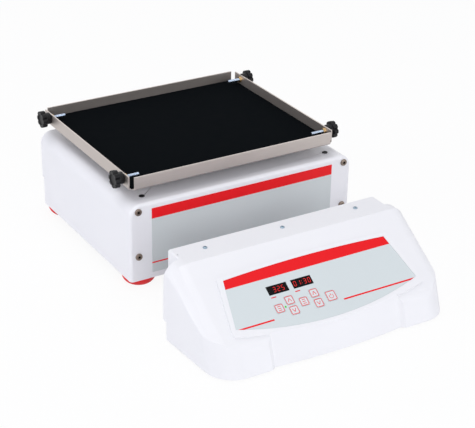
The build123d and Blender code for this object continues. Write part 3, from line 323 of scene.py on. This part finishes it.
def ribbed_mat(name, tone, dark, pitch, depth):
    """Dark rubber with two crossed sets of fine ribs, the product of two raised sines; its colour is darker
    down the grooves, a painted shade.
    """
    finish = Finish(name, Specular_IOR_Level=0.01)
    x, y, _ = finish.axes()
    turns = 2.0 * math.pi / pitch
    ribs = (0.5 + 0.5 * (x * turns).sine()) * (0.5 + 0.5 * (y * turns).sine())
    dust = finish.noise(60.0, 5.0)
    # colour: partly random dust, partly painted shade that darkens the grooves between the ribs
    finish.colour(finish.blend(0.6 * dust + 0.4 * ribs, dark, tone))
    finish.roughness(0.62 + 0.2 * dust)
    finish.relief(ribs, depth)
    return finish


finishes.update({
    "red_rubber": moulded("rubber_red", (0.84, 0.015, 0.02), (0.70, 0.01, 0.015), 0.50, 1500.0, 2e-5),
    "black_rubber": moulded("rubber_black", (0.018, 0.018, 0.02), (0.010, 0.010, 0.012), 0.6, 1500.0, 2e-5),
    "belt_rubber": moulded("belt_black", (0.03, 0.03, 0.03), (0.02, 0.02, 0.02), 0.55, 2500.0, 2e-5),
    "black_plastic": moulded(
        "grain_black", (0.020, 0.020, 0.023), (0.012, 0.012, 0.014), 0.38, 2400.0, 2.5e-5),
    "socket_plastic": moulded("socket_grey", (0.06, 0.06, 0.07), (0.04, 0.04, 0.05), 0.40, 2400.0, 2e-5),
    "knob_black": moulded(
        "knob_grain", (0.006, 0.006, 0.008), (0.003, 0.003, 0.004), 0.34, 2400.0, 2e-5, 0.1, 0.22),
    "motor_black": moulded("motor_coat", (0.03, 0.03, 0.035), (0.02, 0.02, 0.025), 0.42, 1200.0, 2e-5),
    "display_black": moulded(
        "filter_black", (0.003, 0.003, 0.004), (0.002, 0.002, 0.003), 0.10, 3000.0, 1e-6, 0.03, 0.12),
    "black_mat": ribbed_mat("mat_ribbed", (0.0035, 0.0048, 0.0062), (0.0012, 0.0020, 0.0028), 0.0016, 3e-5),
})
print("rubbers and plastics done:", len(finishes), "finishes")

# %% [markdown]
# ## Circuit boards
# A board is green lacquer over copper tracks, and its parts stand on it. The tracks are the faint lighter
# lines of a stepped noise, and everything above the board's face takes the dark tone of its components.


# %% Circuit boards
def circuit_board(name, lacquer, track, component, face_at):
    """Green lacquer with tracks below a height, dark component bodies above it."""
    finish = Finish(name, Roughness=0.4)
    height = face_at(finish)
    lines = (finish.cells(260.0).math("FRACT") * 9.0).sine() > 0.55
    tracks = finish.blend(lines, lacquer, track)
    finish.colour(finish.blend(height > 0.0, tracks, component))
    finish.relief(lines, 3e-5)
    return finish


def above(level):
    """Height over a level plane."""
    return lambda finish: finish.axes()[2] - level


green, copper, dark = (0.01, 0.09, 0.035), (0.05, 0.20, 0.08), (0.03, 0.03, 0.035)
DRIVER_FACE, SUPPLY_FACE = 0.0098, 0.0078      # faces of the two level boards over their lowest points
NO_FACE = 10.0                                 # a level that nothing reaches: all lacquer
driver_low, supply_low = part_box("driver_board")[0].z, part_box("power_board")[0].z
finishes["circuit_green"] = circuit_board("board_panel", green, copper, dark, above(NO_FACE))
board_finish = {
    "driver_board": circuit_board("board_driver", green, copper, dark, above(driver_low + DRIVER_FACE)),
    "power_board": circuit_board("board_supply", green, copper, dark, above(supply_low + SUPPLY_FACE)),
}
print("boards at", round(driver_low, 4), round(supply_low, 4))

# %% [markdown]
# ## Printed films
# Both front panels are polyester films printed from behind: a red band along the top, a thin red rule
# near the bottom and plain grey between. The print is a question of place only, so it is written as
# comparisons on the coordinates. On the console the film lies on the slope, so the first step is the
# distance down that slope from the film's upper edge.

# %% Printed panel of the shaker
PRINT_RED = (0.80, 0.007, 0.012)
LABEL_GREY = (0.62, 0.66, 0.67)
LABEL_BAND, LABEL_RULE = 0.0152, (0.0137, 0.0158)      # from the top edge; from the bottom edge
label_low, label_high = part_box("front_label")
label = Finish("film_shaker", Roughness=0.40, Specular_IOR_Level=0.2)
label_height = label.axes()[2]
band = label_height > label_high.z - LABEL_BAND
rule = label_height.between(label_low.z + LABEL_RULE[0], label_low.z + LABEL_RULE[1])
tone = label.noise(9.0, 2.0)
plain = label.blend(tone, LABEL_GREY, tuple(0.93 * c for c in LABEL_GREY))
label.colour(label.blend(band.most(rule), plain, PRINT_RED))
label.relief(label.noise(1500.0, 2.0), 6e-6)
finishes["label_grey"] = label
print("label from", round(label_low.z, 4), "to", round(label_high.z, 4))

# %% Printed panel of the console
SLOPE = math.radians(33.3)
FILM_TOP = (-0.0133, -0.3186, 0.0890)
DOWN = (0.0, -math.cos(SLOPE), -math.sin(SLOPE))
OUT = (0.0, -math.sin(SLOPE), math.cos(SLOPE))
FILM_GREY = (0.66, 0.715, 0.73)
FILM_BAND, FILM_RULE = 0.0126, (0.0684, 0.0706)        # down the slope
RULE_GAP = (-0.083, 0.022)                             # the rule stops beside the keys
film = Finish("film_console", Roughness=0.36, Specular_IOR_Level=0.2)
fx, fy, fz = film.axes()
across = fx - FILM_TOP[0]
down = (FILM_TOP[1] - fy) * math.cos(SLOPE) + (FILM_TOP[2] - fz) * math.sin(SLOPE)
band = down < FILM_BAND
rule = down.between(*FILM_RULE) * (across < RULE_GAP[0]).most(across > RULE_GAP[1])
tone = film.noise(9.0, 2.0)
plain = film.blend(tone, FILM_GREY, tuple(0.95 * c for c in FILM_GREY))
film.colour(film.blend(band.most(rule), plain, PRINT_RED))
film.relief(film.noise(1500.0, 2.0), 6e-6)
finishes["overlay_grey"] = film
finishes["key_face"] = moulded("key_film", (0.70, 0.755, 0.77), FILM_GREY, 0.30, 1500.0, 4e-6, 0.05)
lamp = Finish("lamp_green_lens", Roughness=0.15, Emission_Strength=0.25)
glow = lamp.noise(900.0, 1.0)
lamp.colour(lamp.blend(glow, (0.04, 0.40, 0.01), (0.07, 0.48, 0.02)))
lamp.shader.inputs["Emission Color"].default_value = (0.10, 0.70, 0.03, 1.0)
finishes["lamp_green"] = lamp
print("slope of the film:", round(math.degrees(SLOPE), 1), "degrees")

# %% [markdown]
# ## Finishes for the loaded solids
# Every solid takes the finish of its material slot. Only the two boards that lie level have one of
# their own, because their components start at a different height.

# %% Give every solid its finish
for name, solid in nodes.items():
    finish = board_finish.get(name) or finishes[slot_of[name]]
    solid.data.materials.clear()
    solid.data.materials.append(finish.material)
print("finished", len(nodes), "solids from", len(finishes) + len(board_finish), "finishes")

# %% [markdown]
# ## Surfaces as grids of points
# The new pieces are surfaces: a point for each pair of two parameters. Working out all the points at once
# with arrays is quick and keeps the formula in sight. One helper turns a grid into faces, and can close it
# round either way.


# %% From a grid of points to a piece
def grid_faces(rows, columns, wrap_rows=False, wrap_columns=False, first=0):
    """Quads between neighbouring points of a grid, with the last row or column joined to the first."""
    i = np.arange(rows if wrap_rows else rows - 1)
    j = np.arange(columns if wrap_columns else columns - 1)
    i, j = np.meshgrid(i, j, indexing="ij")
    up, right = (i + 1) % rows, (j + 1) % columns
    corners = [i * columns + j, i * columns + right, up * columns + right, up * columns + j]
    return np.stack(corners, axis=-1).reshape(-1, 4) + first


def make_piece(name, points, faces, finish, body, slot_name, replaced=(), smooth=40.0):
    """Mesh object from points and faces, welded, outward facing, and riding on its body."""
    mesh = bpy.data.meshes.new(name)
    mesh.from_pydata(np.reshape(points, (-1, 3)).tolist(), [], [[int(i) for i in face] for face in faces])
    work = bmesh.new()
    work.from_mesh(mesh)
    bmesh.ops.remove_doubles(work, verts=work.verts, dist=1e-7)
    bmesh.ops.recalc_face_normals(work, faces=work.faces)
    work.to_mesh(mesh)
    work.free()
    mesh.shade_smooth()
    mesh.set_sharp_from_angle(angle=math.radians(smooth))
    mesh.materials.append(finish.material)
    piece = bpy.data.objects.new(name, mesh)
    bpy.context.scene.collection.objects.link(piece)
    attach(piece, body)
    if replaced:
        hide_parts(*replaced)
    return piece


def lathe(profile, segments):
    """Profile of (radius, height) turned about the height axis: x = r cos t, y = r sin t, z = h."""
    turn = np.linspace(0.0, 2.0 * np.pi, segments, endpoint=False)
    radius, height = np.asarray(profile).T
    points = np.stack([np.outer(radius, np.cos(turn)), np.outer(radius, np.sin(turn)),
                       np.outer(height, np.ones(segments))], axis=-1)
    return points, grid_faces(len(radius), segments, wrap_columns=True)


def arc(centre, radius, start, stop, steps):
    """Points of an arc, angles in degrees from the first axis."""
    t = np.radians(np.linspace(start, stop, steps))
    return np.stack([centre[0] + radius * np.cos(t), centre[1] + radius * np.sin(t)], axis=-1)


def many(points, faces, places):
    """The same surface at several places, as one set of points and faces."""
    count = points.reshape(-1, 3).shape[0]
    moved = np.concatenate([points.reshape(-1, 3) + np.asarray(place) for place in places])
    joined = np.concatenate([faces + i * count for i in range(len(places))])
    return moved, joined


print("surface helpers ready")

# %% [markdown]
# ## Feet
# Each foot is a dome of red rubber with a recess for its screw. It is a turned shape, so a profile of
# radius against height is carried round a circle. Its side bulges, as rubber under load does.

# %% Red rubber feet
MM = 0.001
FOOT_R, FOOT_TOP = 24.0, 12.95
RECESS_R, RECESS_H = 5.0, 8.0
foot_low, foot_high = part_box("feet")
foot_profile = np.concatenate([
    [(0.0, RECESS_H), (RECESS_R, RECESS_H), (RECESS_R, 0.6)],
    arc((5.6, 0.6), 0.6, 180, 270, 4), [(13.4, 0.0)], arc((13.4, 1.6), 1.6, 270, 330, 5),
    arc((9.2, 13.6), 14.8, -54, -3, 12), [(FOOT_R, FOOT_TOP), (0.0, FOOT_TOP)]])
foot_points, foot_faces = lathe(foot_profile * MM, 72)
foot_r = FOOT_R * MM
foot_places = [(x, y, 0.0) for x in (foot_low.x + foot_r, foot_high.x - foot_r)
               for y in (foot_low.y + foot_r, foot_high.y - foot_r)]
make_piece("feet_turned", *many(foot_points, foot_faces, foot_places), finishes["red_rubber"],
           "root", "red_rubber", ["feet"])
print("feet at", [tuple(round(c, 3) for c in place[:2]) for place in foot_places])

# %% [markdown]
# ## Thumbscrews
# A thumbscrew is a bright M5 stud moulded into a black lobed knob. The thread is a helix: going round the
# stud, the radius rises and falls as a triangle wave of the distance along it less the share of a turn.
# The knob is a turned profile whose radius also dips between its lobes.

# %% Threaded studs and lobed knobs
THREAD_PITCH, THREAD_DEPTH, THREAD_END = 0.8 * MM, 0.42 * MM, 0.6 * MM
STUD_SIDES, KNOB_SIDES = 28, 128
LOBES, LOBE_DEPTH = 8, 2.4
LOBE_START, LOBE_RUN = 8.6, 3.4      # radius where the lobes begin, and over which they grow, in mm


def thread_surface(length, radius, chamfer):
    """r(t, s) = radius less depth times a triangle wave of s / pitch - t / 2 pi, tapered at both ends."""
    s = np.linspace(0.0, length, int(length / THREAD_PITCH * 8) + 1)
    t = np.linspace(0.0, 2.0 * np.pi, STUD_SIDES, endpoint=False)
    phase = s[:, None] / THREAD_PITCH - t[None, :] / (2.0 * np.pi)
    wave = np.abs(2.0 * (phase % 1.0) - 1.0)
    r = radius - THREAD_DEPTH * wave
    taper = radius - chamfer + np.minimum(s, length - s)[:, None]
    r = np.minimum(r, taper)
    points = np.stack([r * np.cos(t), r * np.sin(t), np.broadcast_to(s[:, None], r.shape)], axis=-1)
    ends = [np.broadcast_to([[0.0, 0.0, z]], (STUD_SIDES, 3)) for z in (0.0, length)]
    points = np.concatenate([ends[0][None], points, ends[1][None]])
    return points, grid_faces(len(points), STUD_SIDES, wrap_columns=True)


def knob_surface():
    """Turned profile; beyond the neck the radius dips by a raised cosine of eight turns."""
    profile = np.concatenate([
        [(0.0, 12.1), (2.55, 12.1), (2.55, 0.0), (7.6, 0.0)], arc((7.6, 0.9), 0.9, -90, 0, 5), [(8.5, 6.6)],
        arc((9.3, 6.6), 0.8, 180, 90, 5), arc((11.3, 8.6), 1.2, -90, 0, 6), arc((11.3, 13.6), 1.2, 0, 90, 6),
        [(8.2, 14.9)], arc((8.2, 14.4), 0.5, 90, 200, 5), [(7.2, 13.7), (0.0, 13.5)]])
    lobed = np.clip((profile[:, 0] - LOBE_START) / LOBE_RUN, 0.0, 1.0)
    t = np.linspace(0.0, 2.0 * np.pi, KNOB_SIDES, endpoint=False)
    dip = (0.5 - 0.5 * np.cos(LOBES * t)) ** 3
    r = profile[:, :1] - LOBE_DEPTH * lobed[:, None] * dip[None, :]
    points = np.stack([r * np.cos(t), r * np.sin(t), np.broadcast_to(profile[:, 1:], r.shape)], axis=-1)
    return points * MM, grid_faces(len(profile), KNOB_SIDES, wrap_columns=True)


def along_outward(points, side, start, y, z):
    """Turns a surface about Z so that its Z runs outwards along X from a start."""
    flat = points.reshape(-1, 3)
    return np.stack([start + side * flat[:, 2], y + flat[:, 0] * side, z + flat[:, 1]], axis=-1)


for corner in ("front_left", "front_right", "rear_left", "rear_right"):
    side = -1.0 if corner.endswith("left") else 1.0
    low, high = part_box("thumb_stud_" + corner)
    y, z = (low.y + high.y) / 2, (low.z + high.z) / 2
    tip = high.x if side < 0 else low.x
    points, faces = thread_surface(high.x - low.x, (high.z - low.z) / 2, THREAD_END)
    make_piece("stud_thread_" + corner, along_outward(points, side, tip, y, z), faces,
               finishes["bright_stud"], "stud_" + corner, "bright_stud", ["thumb_stud_" + corner], 30.0)
    low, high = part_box("thumb_knob_" + corner)
    face = high.x if side < 0 else low.x
    points, faces = knob_surface()
    make_piece("knob_lobed_" + corner, along_outward(points, side, face, y, z), faces,
               finishes["knob_black"], "knob_" + corner, "knob_black", ["thumb_knob_" + corner], 35.0)
print("four thumbscrews, thread pitch", THREAD_PITCH)

# %% [markdown]
# ## Softened edges
# A solid from a modeller has perfectly sharp edges, which no fold or moulding has, and the lack of a
# highlight along them is what makes a render look false. Each visible housing is therefore copied, its
# triangles are welded and merged into flat faces, and a small bevel rolls its sharp edges. The console's
# moulding has its rounds in the solid, so it gets no bevel, only smooth shading across them. The tray's
# floor and flanges lie a hair apart at their bend lines, and each of them is rolled by itself.


# %% Copies with rolled edges
WELD, FLAT = 2e-6, math.radians(0.4)      # points this close are one; faces this flat are merged


def softened(node, width, angle=28.0, steps=3):
    """Welded copy of a solid whose edges sharper than an angle get a bevel of a width."""
    mesh = nodes[node].data.copy()
    for name in ("custom_normal", "sharp_edge", "sharp_face"):
        if name in mesh.attributes:
            mesh.attributes.remove(mesh.attributes[name])
    work = bmesh.new()
    work.from_mesh(mesh)
    bmesh.ops.remove_doubles(work, verts=work.verts, dist=WELD)
    bmesh.ops.dissolve_limit(work, angle_limit=FLAT, verts=work.verts, edges=work.edges)
    work.to_mesh(mesh)
    work.free()
    mesh.shade_smooth()
    piece = bpy.data.objects.new(node + "_soft", mesh)
    bpy.context.scene.collection.objects.link(piece)
    if width:
        bevel = piece.modifiers.new("rolled edge", "BEVEL")
        bevel.width, bevel.segments = width, steps
        bevel.limit_method, bevel.angle_limit = "ANGLE", math.radians(angle)
        bevel.use_clamp_overlap = False
        bevel.harden_normals = True
    else:
        mesh.set_sharp_from_angle(angle=math.radians(angle))
    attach(piece, body_of[node])
    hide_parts(node)
    return piece


KEY_ROLL = 0.25 * MM
soft_edges = {
    "top_cover": 0.6 * MM, "console_shell": 0.0, "tray": 0.25 * MM, "tray_mat": 0.5 * MM,
    "base_pan": 0.4 * MM, "switch_rocker": 0.3 * MM, "switch_body": 0.3 * MM, "console_overlay": 0.15 * MM,
}
soft = {node: softened(node, width) for node, width in soft_edges.items()}
for name in sorted(nodes):
    if name.startswith("key_"):
        soft[name] = softened(name, KEY_ROLL)
print("softened", len(soft), "solids")

# %% [markdown]
# ## Print and light on the console
# The digits are lit bars behind a dark filter. Each digit is the usual seven bars, and a table says which
# of them are lit. The key symbols are red outlines printed on the key film. Both are flat figures, so they
# are drawn as outlines on the slope and given a thickness of a few hundredths of a millimetre.

# %% Figures on the slope
DIGIT_W, DIGIT_H, DIGIT_STROKE, DIGIT_SLANT = 3.2 * MM, 6.6 * MM, 0.7 * MM, 0.10
DIGIT_SPACE, BAR_GAP = 3.0 * MM, 0.12 * MM
COLON_SHIFT, COLON_HALF, COLON_STROKE = 0.4 * MM, 0.55 * MM, 0.9 * MM
FILM_LIFT, KEY_LIFT, INK = 1.8 * MM, 2.1 * MM, 0.05 * MM
LIT_BARS = {
    "0": "abcdef", "1": "bc", "2": "abged", "3": "abgcd", "4": "fgbc",
    "5": "afgcd", "6": "afgedc", "7": "abc", "8": "abcdefg", "9": "abcdfg",
}
BAR_ENDS = {
    "a": ((0, 2), (1, 2)), "b": ((1, 2), (1, 1)), "c": ((1, 1), (1, 0)), "d": ((0, 0), (1, 0)),
    "e": ((0, 1), (0, 0)), "f": ((0, 2), (0, 1)), "g": ((0, 1), (1, 1)),
}


def on_slope(flat, lift):
    """World place of points (across, down) on the console's slope, at a lift from it."""
    flat = np.asarray(flat)
    along = flat[:, :1] * [1.0, 0.0, 0.0] + flat[:, 1:] * np.array(DOWN)
    return np.array(FILM_TOP) + along + lift * np.array(OUT)


def bar(start, end, stroke, gap=0.0):
    """Six-sided bar between two points, pointed at both ends."""
    start, end = np.asarray(start, float), np.asarray(end, float)
    u = (end - start) / np.linalg.norm(end - start)
    n = np.array([-u[1], u[0]])
    half = stroke / 2
    a, b = start + u * gap, end - u * gap
    return np.array([a, a + (u + n) * half, b + (n - u) * half, b, b - (u + n) * half, a + (u - n) * half])


def figure(outlines, lift, thick):
    """Closed outlines on the slope as thin plates: all their points, and their faces."""
    points, faces, first = [], [], 0
    for outline in outlines:
        count = len(outline)
        points += [on_slope(outline, lift), on_slope(outline, lift + thick)]
        faces += [list(range(first, first + count)), list(range(first + count, first + 2 * count))]
        faces += grid_faces(2, count, wrap_columns=True, first=first).tolist()
        first += 2 * count
    return np.concatenate(points), faces


def digit_bars(text, centre, down):
    """Outlines of the lit bars of a row of digits; a colon is two dots."""
    pitch = DIGIT_W + DIGIT_SPACE
    widths = [0.45 * pitch if mark == ":" else pitch for mark in text]
    x = centre - sum(widths) / 2
    found = []
    for mark, width in zip(text, widths):
        if mark == ":":
            for step in (-0.22, 0.22):
                mid, level = x + width / 2 - COLON_SHIFT, down + step * DIGIT_H
                found.append(bar((mid - COLON_HALF, level), (mid + COLON_HALF, level), COLON_STROKE))
        for name in LIT_BARS.get(mark, ""):
            ends = []
            for i, j in BAR_ENDS[name]:
                rise = (j - 1) * DIGIT_H / 2
                ends.append((x + (width - DIGIT_W) / 2 + i * DIGIT_W + rise * DIGIT_SLANT, down - rise))
            found.append(bar(*ends, DIGIT_STROKE, BAR_GAP))
        x += width
    return found


digit_glow = Finish("digit_red", Roughness=0.4, Specular_IOR_Level=0.1, Emission_Strength=0.75)
flicker = digit_glow.noise(400.0, 1.0)
digit_glow.colour(digit_glow.blend(flicker, (0.08, 0.004, 0.004), (0.12, 0.006, 0.005)))
digit_glow.tree.links.new(digit_glow.blend(flicker, (1.0, 0.015, 0.015), (1.0, 0.035, 0.03)),
                          digit_glow.shader.inputs["Emission Color"])
DISPLAY_DOWN, SPEED_X, TIME_X = 30.4 * MM, -57.0 * MM, -21.8 * MM
lit = digit_bars("325", SPEED_X, DISPLAY_DOWN) + digit_bars("01:30", TIME_X, DISPLAY_DOWN)
make_piece("display_digits", *figure(lit, FILM_LIFT, INK), digit_glow, "root", "display_black")
print("lit bars:", len(lit))

# %% [markdown]
# ## Key symbols
# Every key has a rounded red frame. Inside it stand three bars for run, a chevron for up or down, or the
# usual broken ring for power. A ring is a band between two outlines, so its faces are again a grid.


# %% Frames and symbols of the keys
def rounded_square(half, radius, steps=7):
    """Outline of a square with rounded corners, as an array of points."""
    inner = half - radius
    corners = ((inner, inner, 0), (-inner, inner, 90), (-inner, -inner, 180), (inner, -inner, 270))
    return np.concatenate([arc((x, y), radius, turn, turn + 90, steps) for x, y, turn in corners])


def ring_band(outer, inner, lift, thick):
    """Band between two outlines with the same number of points, as a closed strip."""
    high = lift + thick
    loops = [on_slope(outer, lift), on_slope(outer, high), on_slope(inner, high), on_slope(inner, lift)]
    return np.concatenate(loops), grid_faces(4, len(outer), wrap_rows=True, wrap_columns=True).tolist()


def joined(*parts):
    """Several surfaces as one: faces are shifted by the points that come before them."""
    points, faces, first = [], [], 0
    for some_points, some_faces in parts:
        points.append(some_points)
        faces += [[i + first for i in face] for face in some_faces]
        first += len(some_points)
    return np.concatenate(points), faces


def key_symbol(kind, x, down, size):
    """Outlines of the symbol in a key's middle; down grows towards the user."""
    stroke, reach = 0.95 * MM, 0.21 * size
    if kind in ("up", "down"):
        tip = -reach if kind == "up" else reach
        ends = [(x - reach, down - tip), (x, down + tip), (x + reach, down - tip)]
        return [bar(a, b, stroke) for a, b in zip(ends, ends[1:])]
    if kind == "run":
        rows = [down + step * reach for step in (-1.1, 0.0, 1.1)]
        return [bar((x - reach, row), (x + reach, row), stroke) for row in rows]
    turns = np.radians(np.linspace(-50.0, 230.0, 15))
    ring = [(x + reach * math.cos(t), down + 0.2 * reach + reach * math.sin(t)) for t in turns]
    arcs = [bar(a, b, stroke, -0.15 * MM) for a, b in zip(ring, ring[1:])]
    return arcs + [bar((x, down - 1.3 * reach), (x, down), stroke)]


print_red = moulded("print_red_ink", (0.80, 0.045, 0.06), (0.72, 0.035, 0.05), 0.35, 1800.0, 2e-6, 0.05)
KEY_CORNER, FRAME_INSETS = 2.2, (0.25, 1.20)      # in mm: corner radius of a key, edges of its frame
key_places = {
    "speed_run": (-69.0, 57.0, 12.0), "speed_up": (-50.8, 49.8, 12.0), "speed_down": (-50.8, 64.6, 12.0),
    "time_run": (-32.4, 57.0, 12.0), "time_up": (-13.8, 49.8, 12.0), "time_down": (-13.8, 64.6, 12.0),
    "power": (7.2, 60.0, 14.0),
}
for name, place in key_places.items():
    x, down, size = (value * MM for value in place)
    outer, inner = (rounded_square(size / 2 - inset * MM, (KEY_CORNER - inset) * MM)
                    for inset in FRAME_INSETS)
    frame_band = ring_band(outer + [x, down], inner + [x, down], KEY_LIFT, INK)
    symbol = figure(key_symbol(name.split("_")[-1], x, down, size), KEY_LIFT, 0.8 * INK)
    make_piece("print_" + name, *joined(frame_band, symbol), print_red, "key_" + name + "_body", "key_face")
CAPTION_HALF, CAPTION_STROKE = 4.0 * MM, 1.5 * MM
caption = [bar((x - CAPTION_HALF, down), (x + CAPTION_HALF, down), CAPTION_STROKE)
           for x, down in ((-69.4 * MM, 40.5 * MM), (-33.7 * MM, 41.0 * MM))]
make_piece("caption_dashes", *figure(caption, FILM_LIFT, INK), print_red, "root", "overlay_grey")
print("printed keys:", len(key_places))

# %% [markdown]
# ## Floor, light and camera
# The pair stands on a white sweep. The floor and the world show white only to the camera and to mirror
# reflections, which Light Path tells apart, so that they don't flood the object with light, and the floor
# still takes the soft shadow that seats the feet.


# %% Stage
def backdrop_share(tree):
    """1 for camera, glossy and transmission rays, else 0."""
    path = tree.nodes.new("ShaderNodeLightPath")
    total = path.outputs["Is Camera Ray"]
    for name in ("Is Glossy Ray", "Is Transmission Ray"):
        most = tree.nodes.new("ShaderNodeMath")
        most.operation = "MAXIMUM"
        tree.links.new(total, most.inputs[0])
        tree.links.new(path.outputs[name], most.inputs[1])
        total = most.outputs[0]
    return total


world = bpy.data.worlds.new("studio")
world.use_nodes = True
bpy.context.scene.world = world
tree = world.node_tree
soft_light = tree.nodes["Background"]
soft_light.inputs["Color"].default_value = (0.93, 0.94, 1.0, 1.0)
soft_light.inputs["Strength"].default_value = 0.50
white = tree.nodes.new("ShaderNodeBackground")
white.inputs["Strength"].default_value = 1.0
white.inputs["Color"].default_value = (1.0, 1.0, 1.0, 1.0)
choose = tree.nodes.new("ShaderNodeMixShader")
tree.links.new(backdrop_share(tree), choose.inputs[0])
tree.links.new(soft_light.outputs[0], choose.inputs[1])
tree.links.new(white.outputs[0], choose.inputs[2])
tree.links.new(choose.outputs[0], tree.nodes["World Output"].inputs["Surface"])

WHITE_SHARE, SWEEP_HALF = 0.92, 9.0      # how far the floor shows plain white; the rest takes the shadow
paper = bpy.data.materials.new("sweep_paper")
paper.use_nodes = True
tree = paper.node_tree
matt = tree.nodes["Principled BSDF"]
matt.inputs["Base Color"].default_value = (0.90, 0.90, 0.91, 1.0)
matt.inputs["Roughness"].default_value = 0.9
glow = tree.nodes.new("ShaderNodeEmission")
choose = tree.nodes.new("ShaderNodeMixShader")
share = tree.nodes.new("ShaderNodeMath")
share.operation = "MULTIPLY"
share.inputs[1].default_value = WHITE_SHARE
tree.links.new(backdrop_share(tree), share.inputs[0])
tree.links.new(share.outputs[0], choose.inputs[0])
tree.links.new(matt.outputs[0], choose.inputs[1])
tree.links.new(glow.outputs[0], choose.inputs[2])
tree.links.new(choose.outputs[0], tree.nodes["Material Output"].inputs["Surface"])
sweep = bpy.data.meshes.new("sweep")
corners = [(x * SWEEP_HALF, y * SWEEP_HALF, 0.0) for x, y in ((-1, -1), (1, -1), (1, 1), (-1, 1))]
sweep.from_pydata(corners, [], [(0, 1, 2, 3)])
sweep.materials.append(paper)
floor = bpy.data.objects.new("sweep", sweep)
bpy.context.scene.collection.objects.link(floor)
print("stage set")


# %% Lamps and camera
def softbox(name, place, aim, size, power, tint=(1.0, 1.0, 1.0)):
    """Square area lamp at a place, facing a point."""
    lamp_data = bpy.data.lights.new(name, "AREA")
    lamp_data.size, lamp_data.energy, lamp_data.color = size, power, tint
    lamp_object = bpy.data.objects.new(name, lamp_data)
    lamp_object.location = place
    direction = mathutils.Vector(aim) - mathutils.Vector(place)
    lamp_object.rotation_euler = direction.to_track_quat("-Z", "Y").to_euler()
    bpy.context.scene.collection.objects.link(lamp_object)
    return lamp_object


softbox("overhead", (0.0, 0.3, 2.6), (0.0, -0.1, 0.0), 1.8, 22.0)
softbox("key", (-1.3, -2.9, 1.5), (0.0, -0.1, 0.08), 1.6, 31.0)
softbox("side", (-2.1, 0.3, 0.7), (0.0, 0.0, 0.08), 1.0, 11.0, (0.95, 0.96, 1.0))
softbox("fill", (1.6, -2.7, 0.7), (0.0, -0.1, 0.08), 1.4, 16.0, (0.97, 0.98, 1.0))

VIEW_FROM = (-0.9235, -1.6386, 0.9512)
FOCAL_LENGTH, SENSOR_WIDTH, FAR_END = 106.8, 36.0, 50.0      # mm, mm, m
AZIMUTH, ELEVATION, ROLL = math.radians(-31.43), math.radians(26.54), math.radians(1.01)
flat = math.cos(ELEVATION)
back = mathutils.Vector((math.sin(AZIMUTH) * flat, -math.cos(AZIMUTH) * flat, math.sin(ELEVATION)))
level = (-back).cross(mathutils.Vector((0.0, 0.0, 1.0))).normalized()
upright = level.cross(-back)
right = math.cos(ROLL) * level + math.sin(ROLL) * upright
top = math.cos(ROLL) * upright - math.sin(ROLL) * level
lens = bpy.data.cameras.new("view")
lens.lens, lens.sensor_width, lens.clip_end = FOCAL_LENGTH, SENSOR_WIDTH, FAR_END
camera = bpy.data.objects.new("view", lens)
camera.matrix_world = mathutils.Matrix((right, top, back)).transposed().to_4x4()
camera.location = VIEW_FROM
bpy.context.scene.collection.objects.link(camera)
bpy.context.scene.camera = camera
bpy.context.scene.view_settings.view_transform = "Standard"
print("camera at", VIEW_FROM)
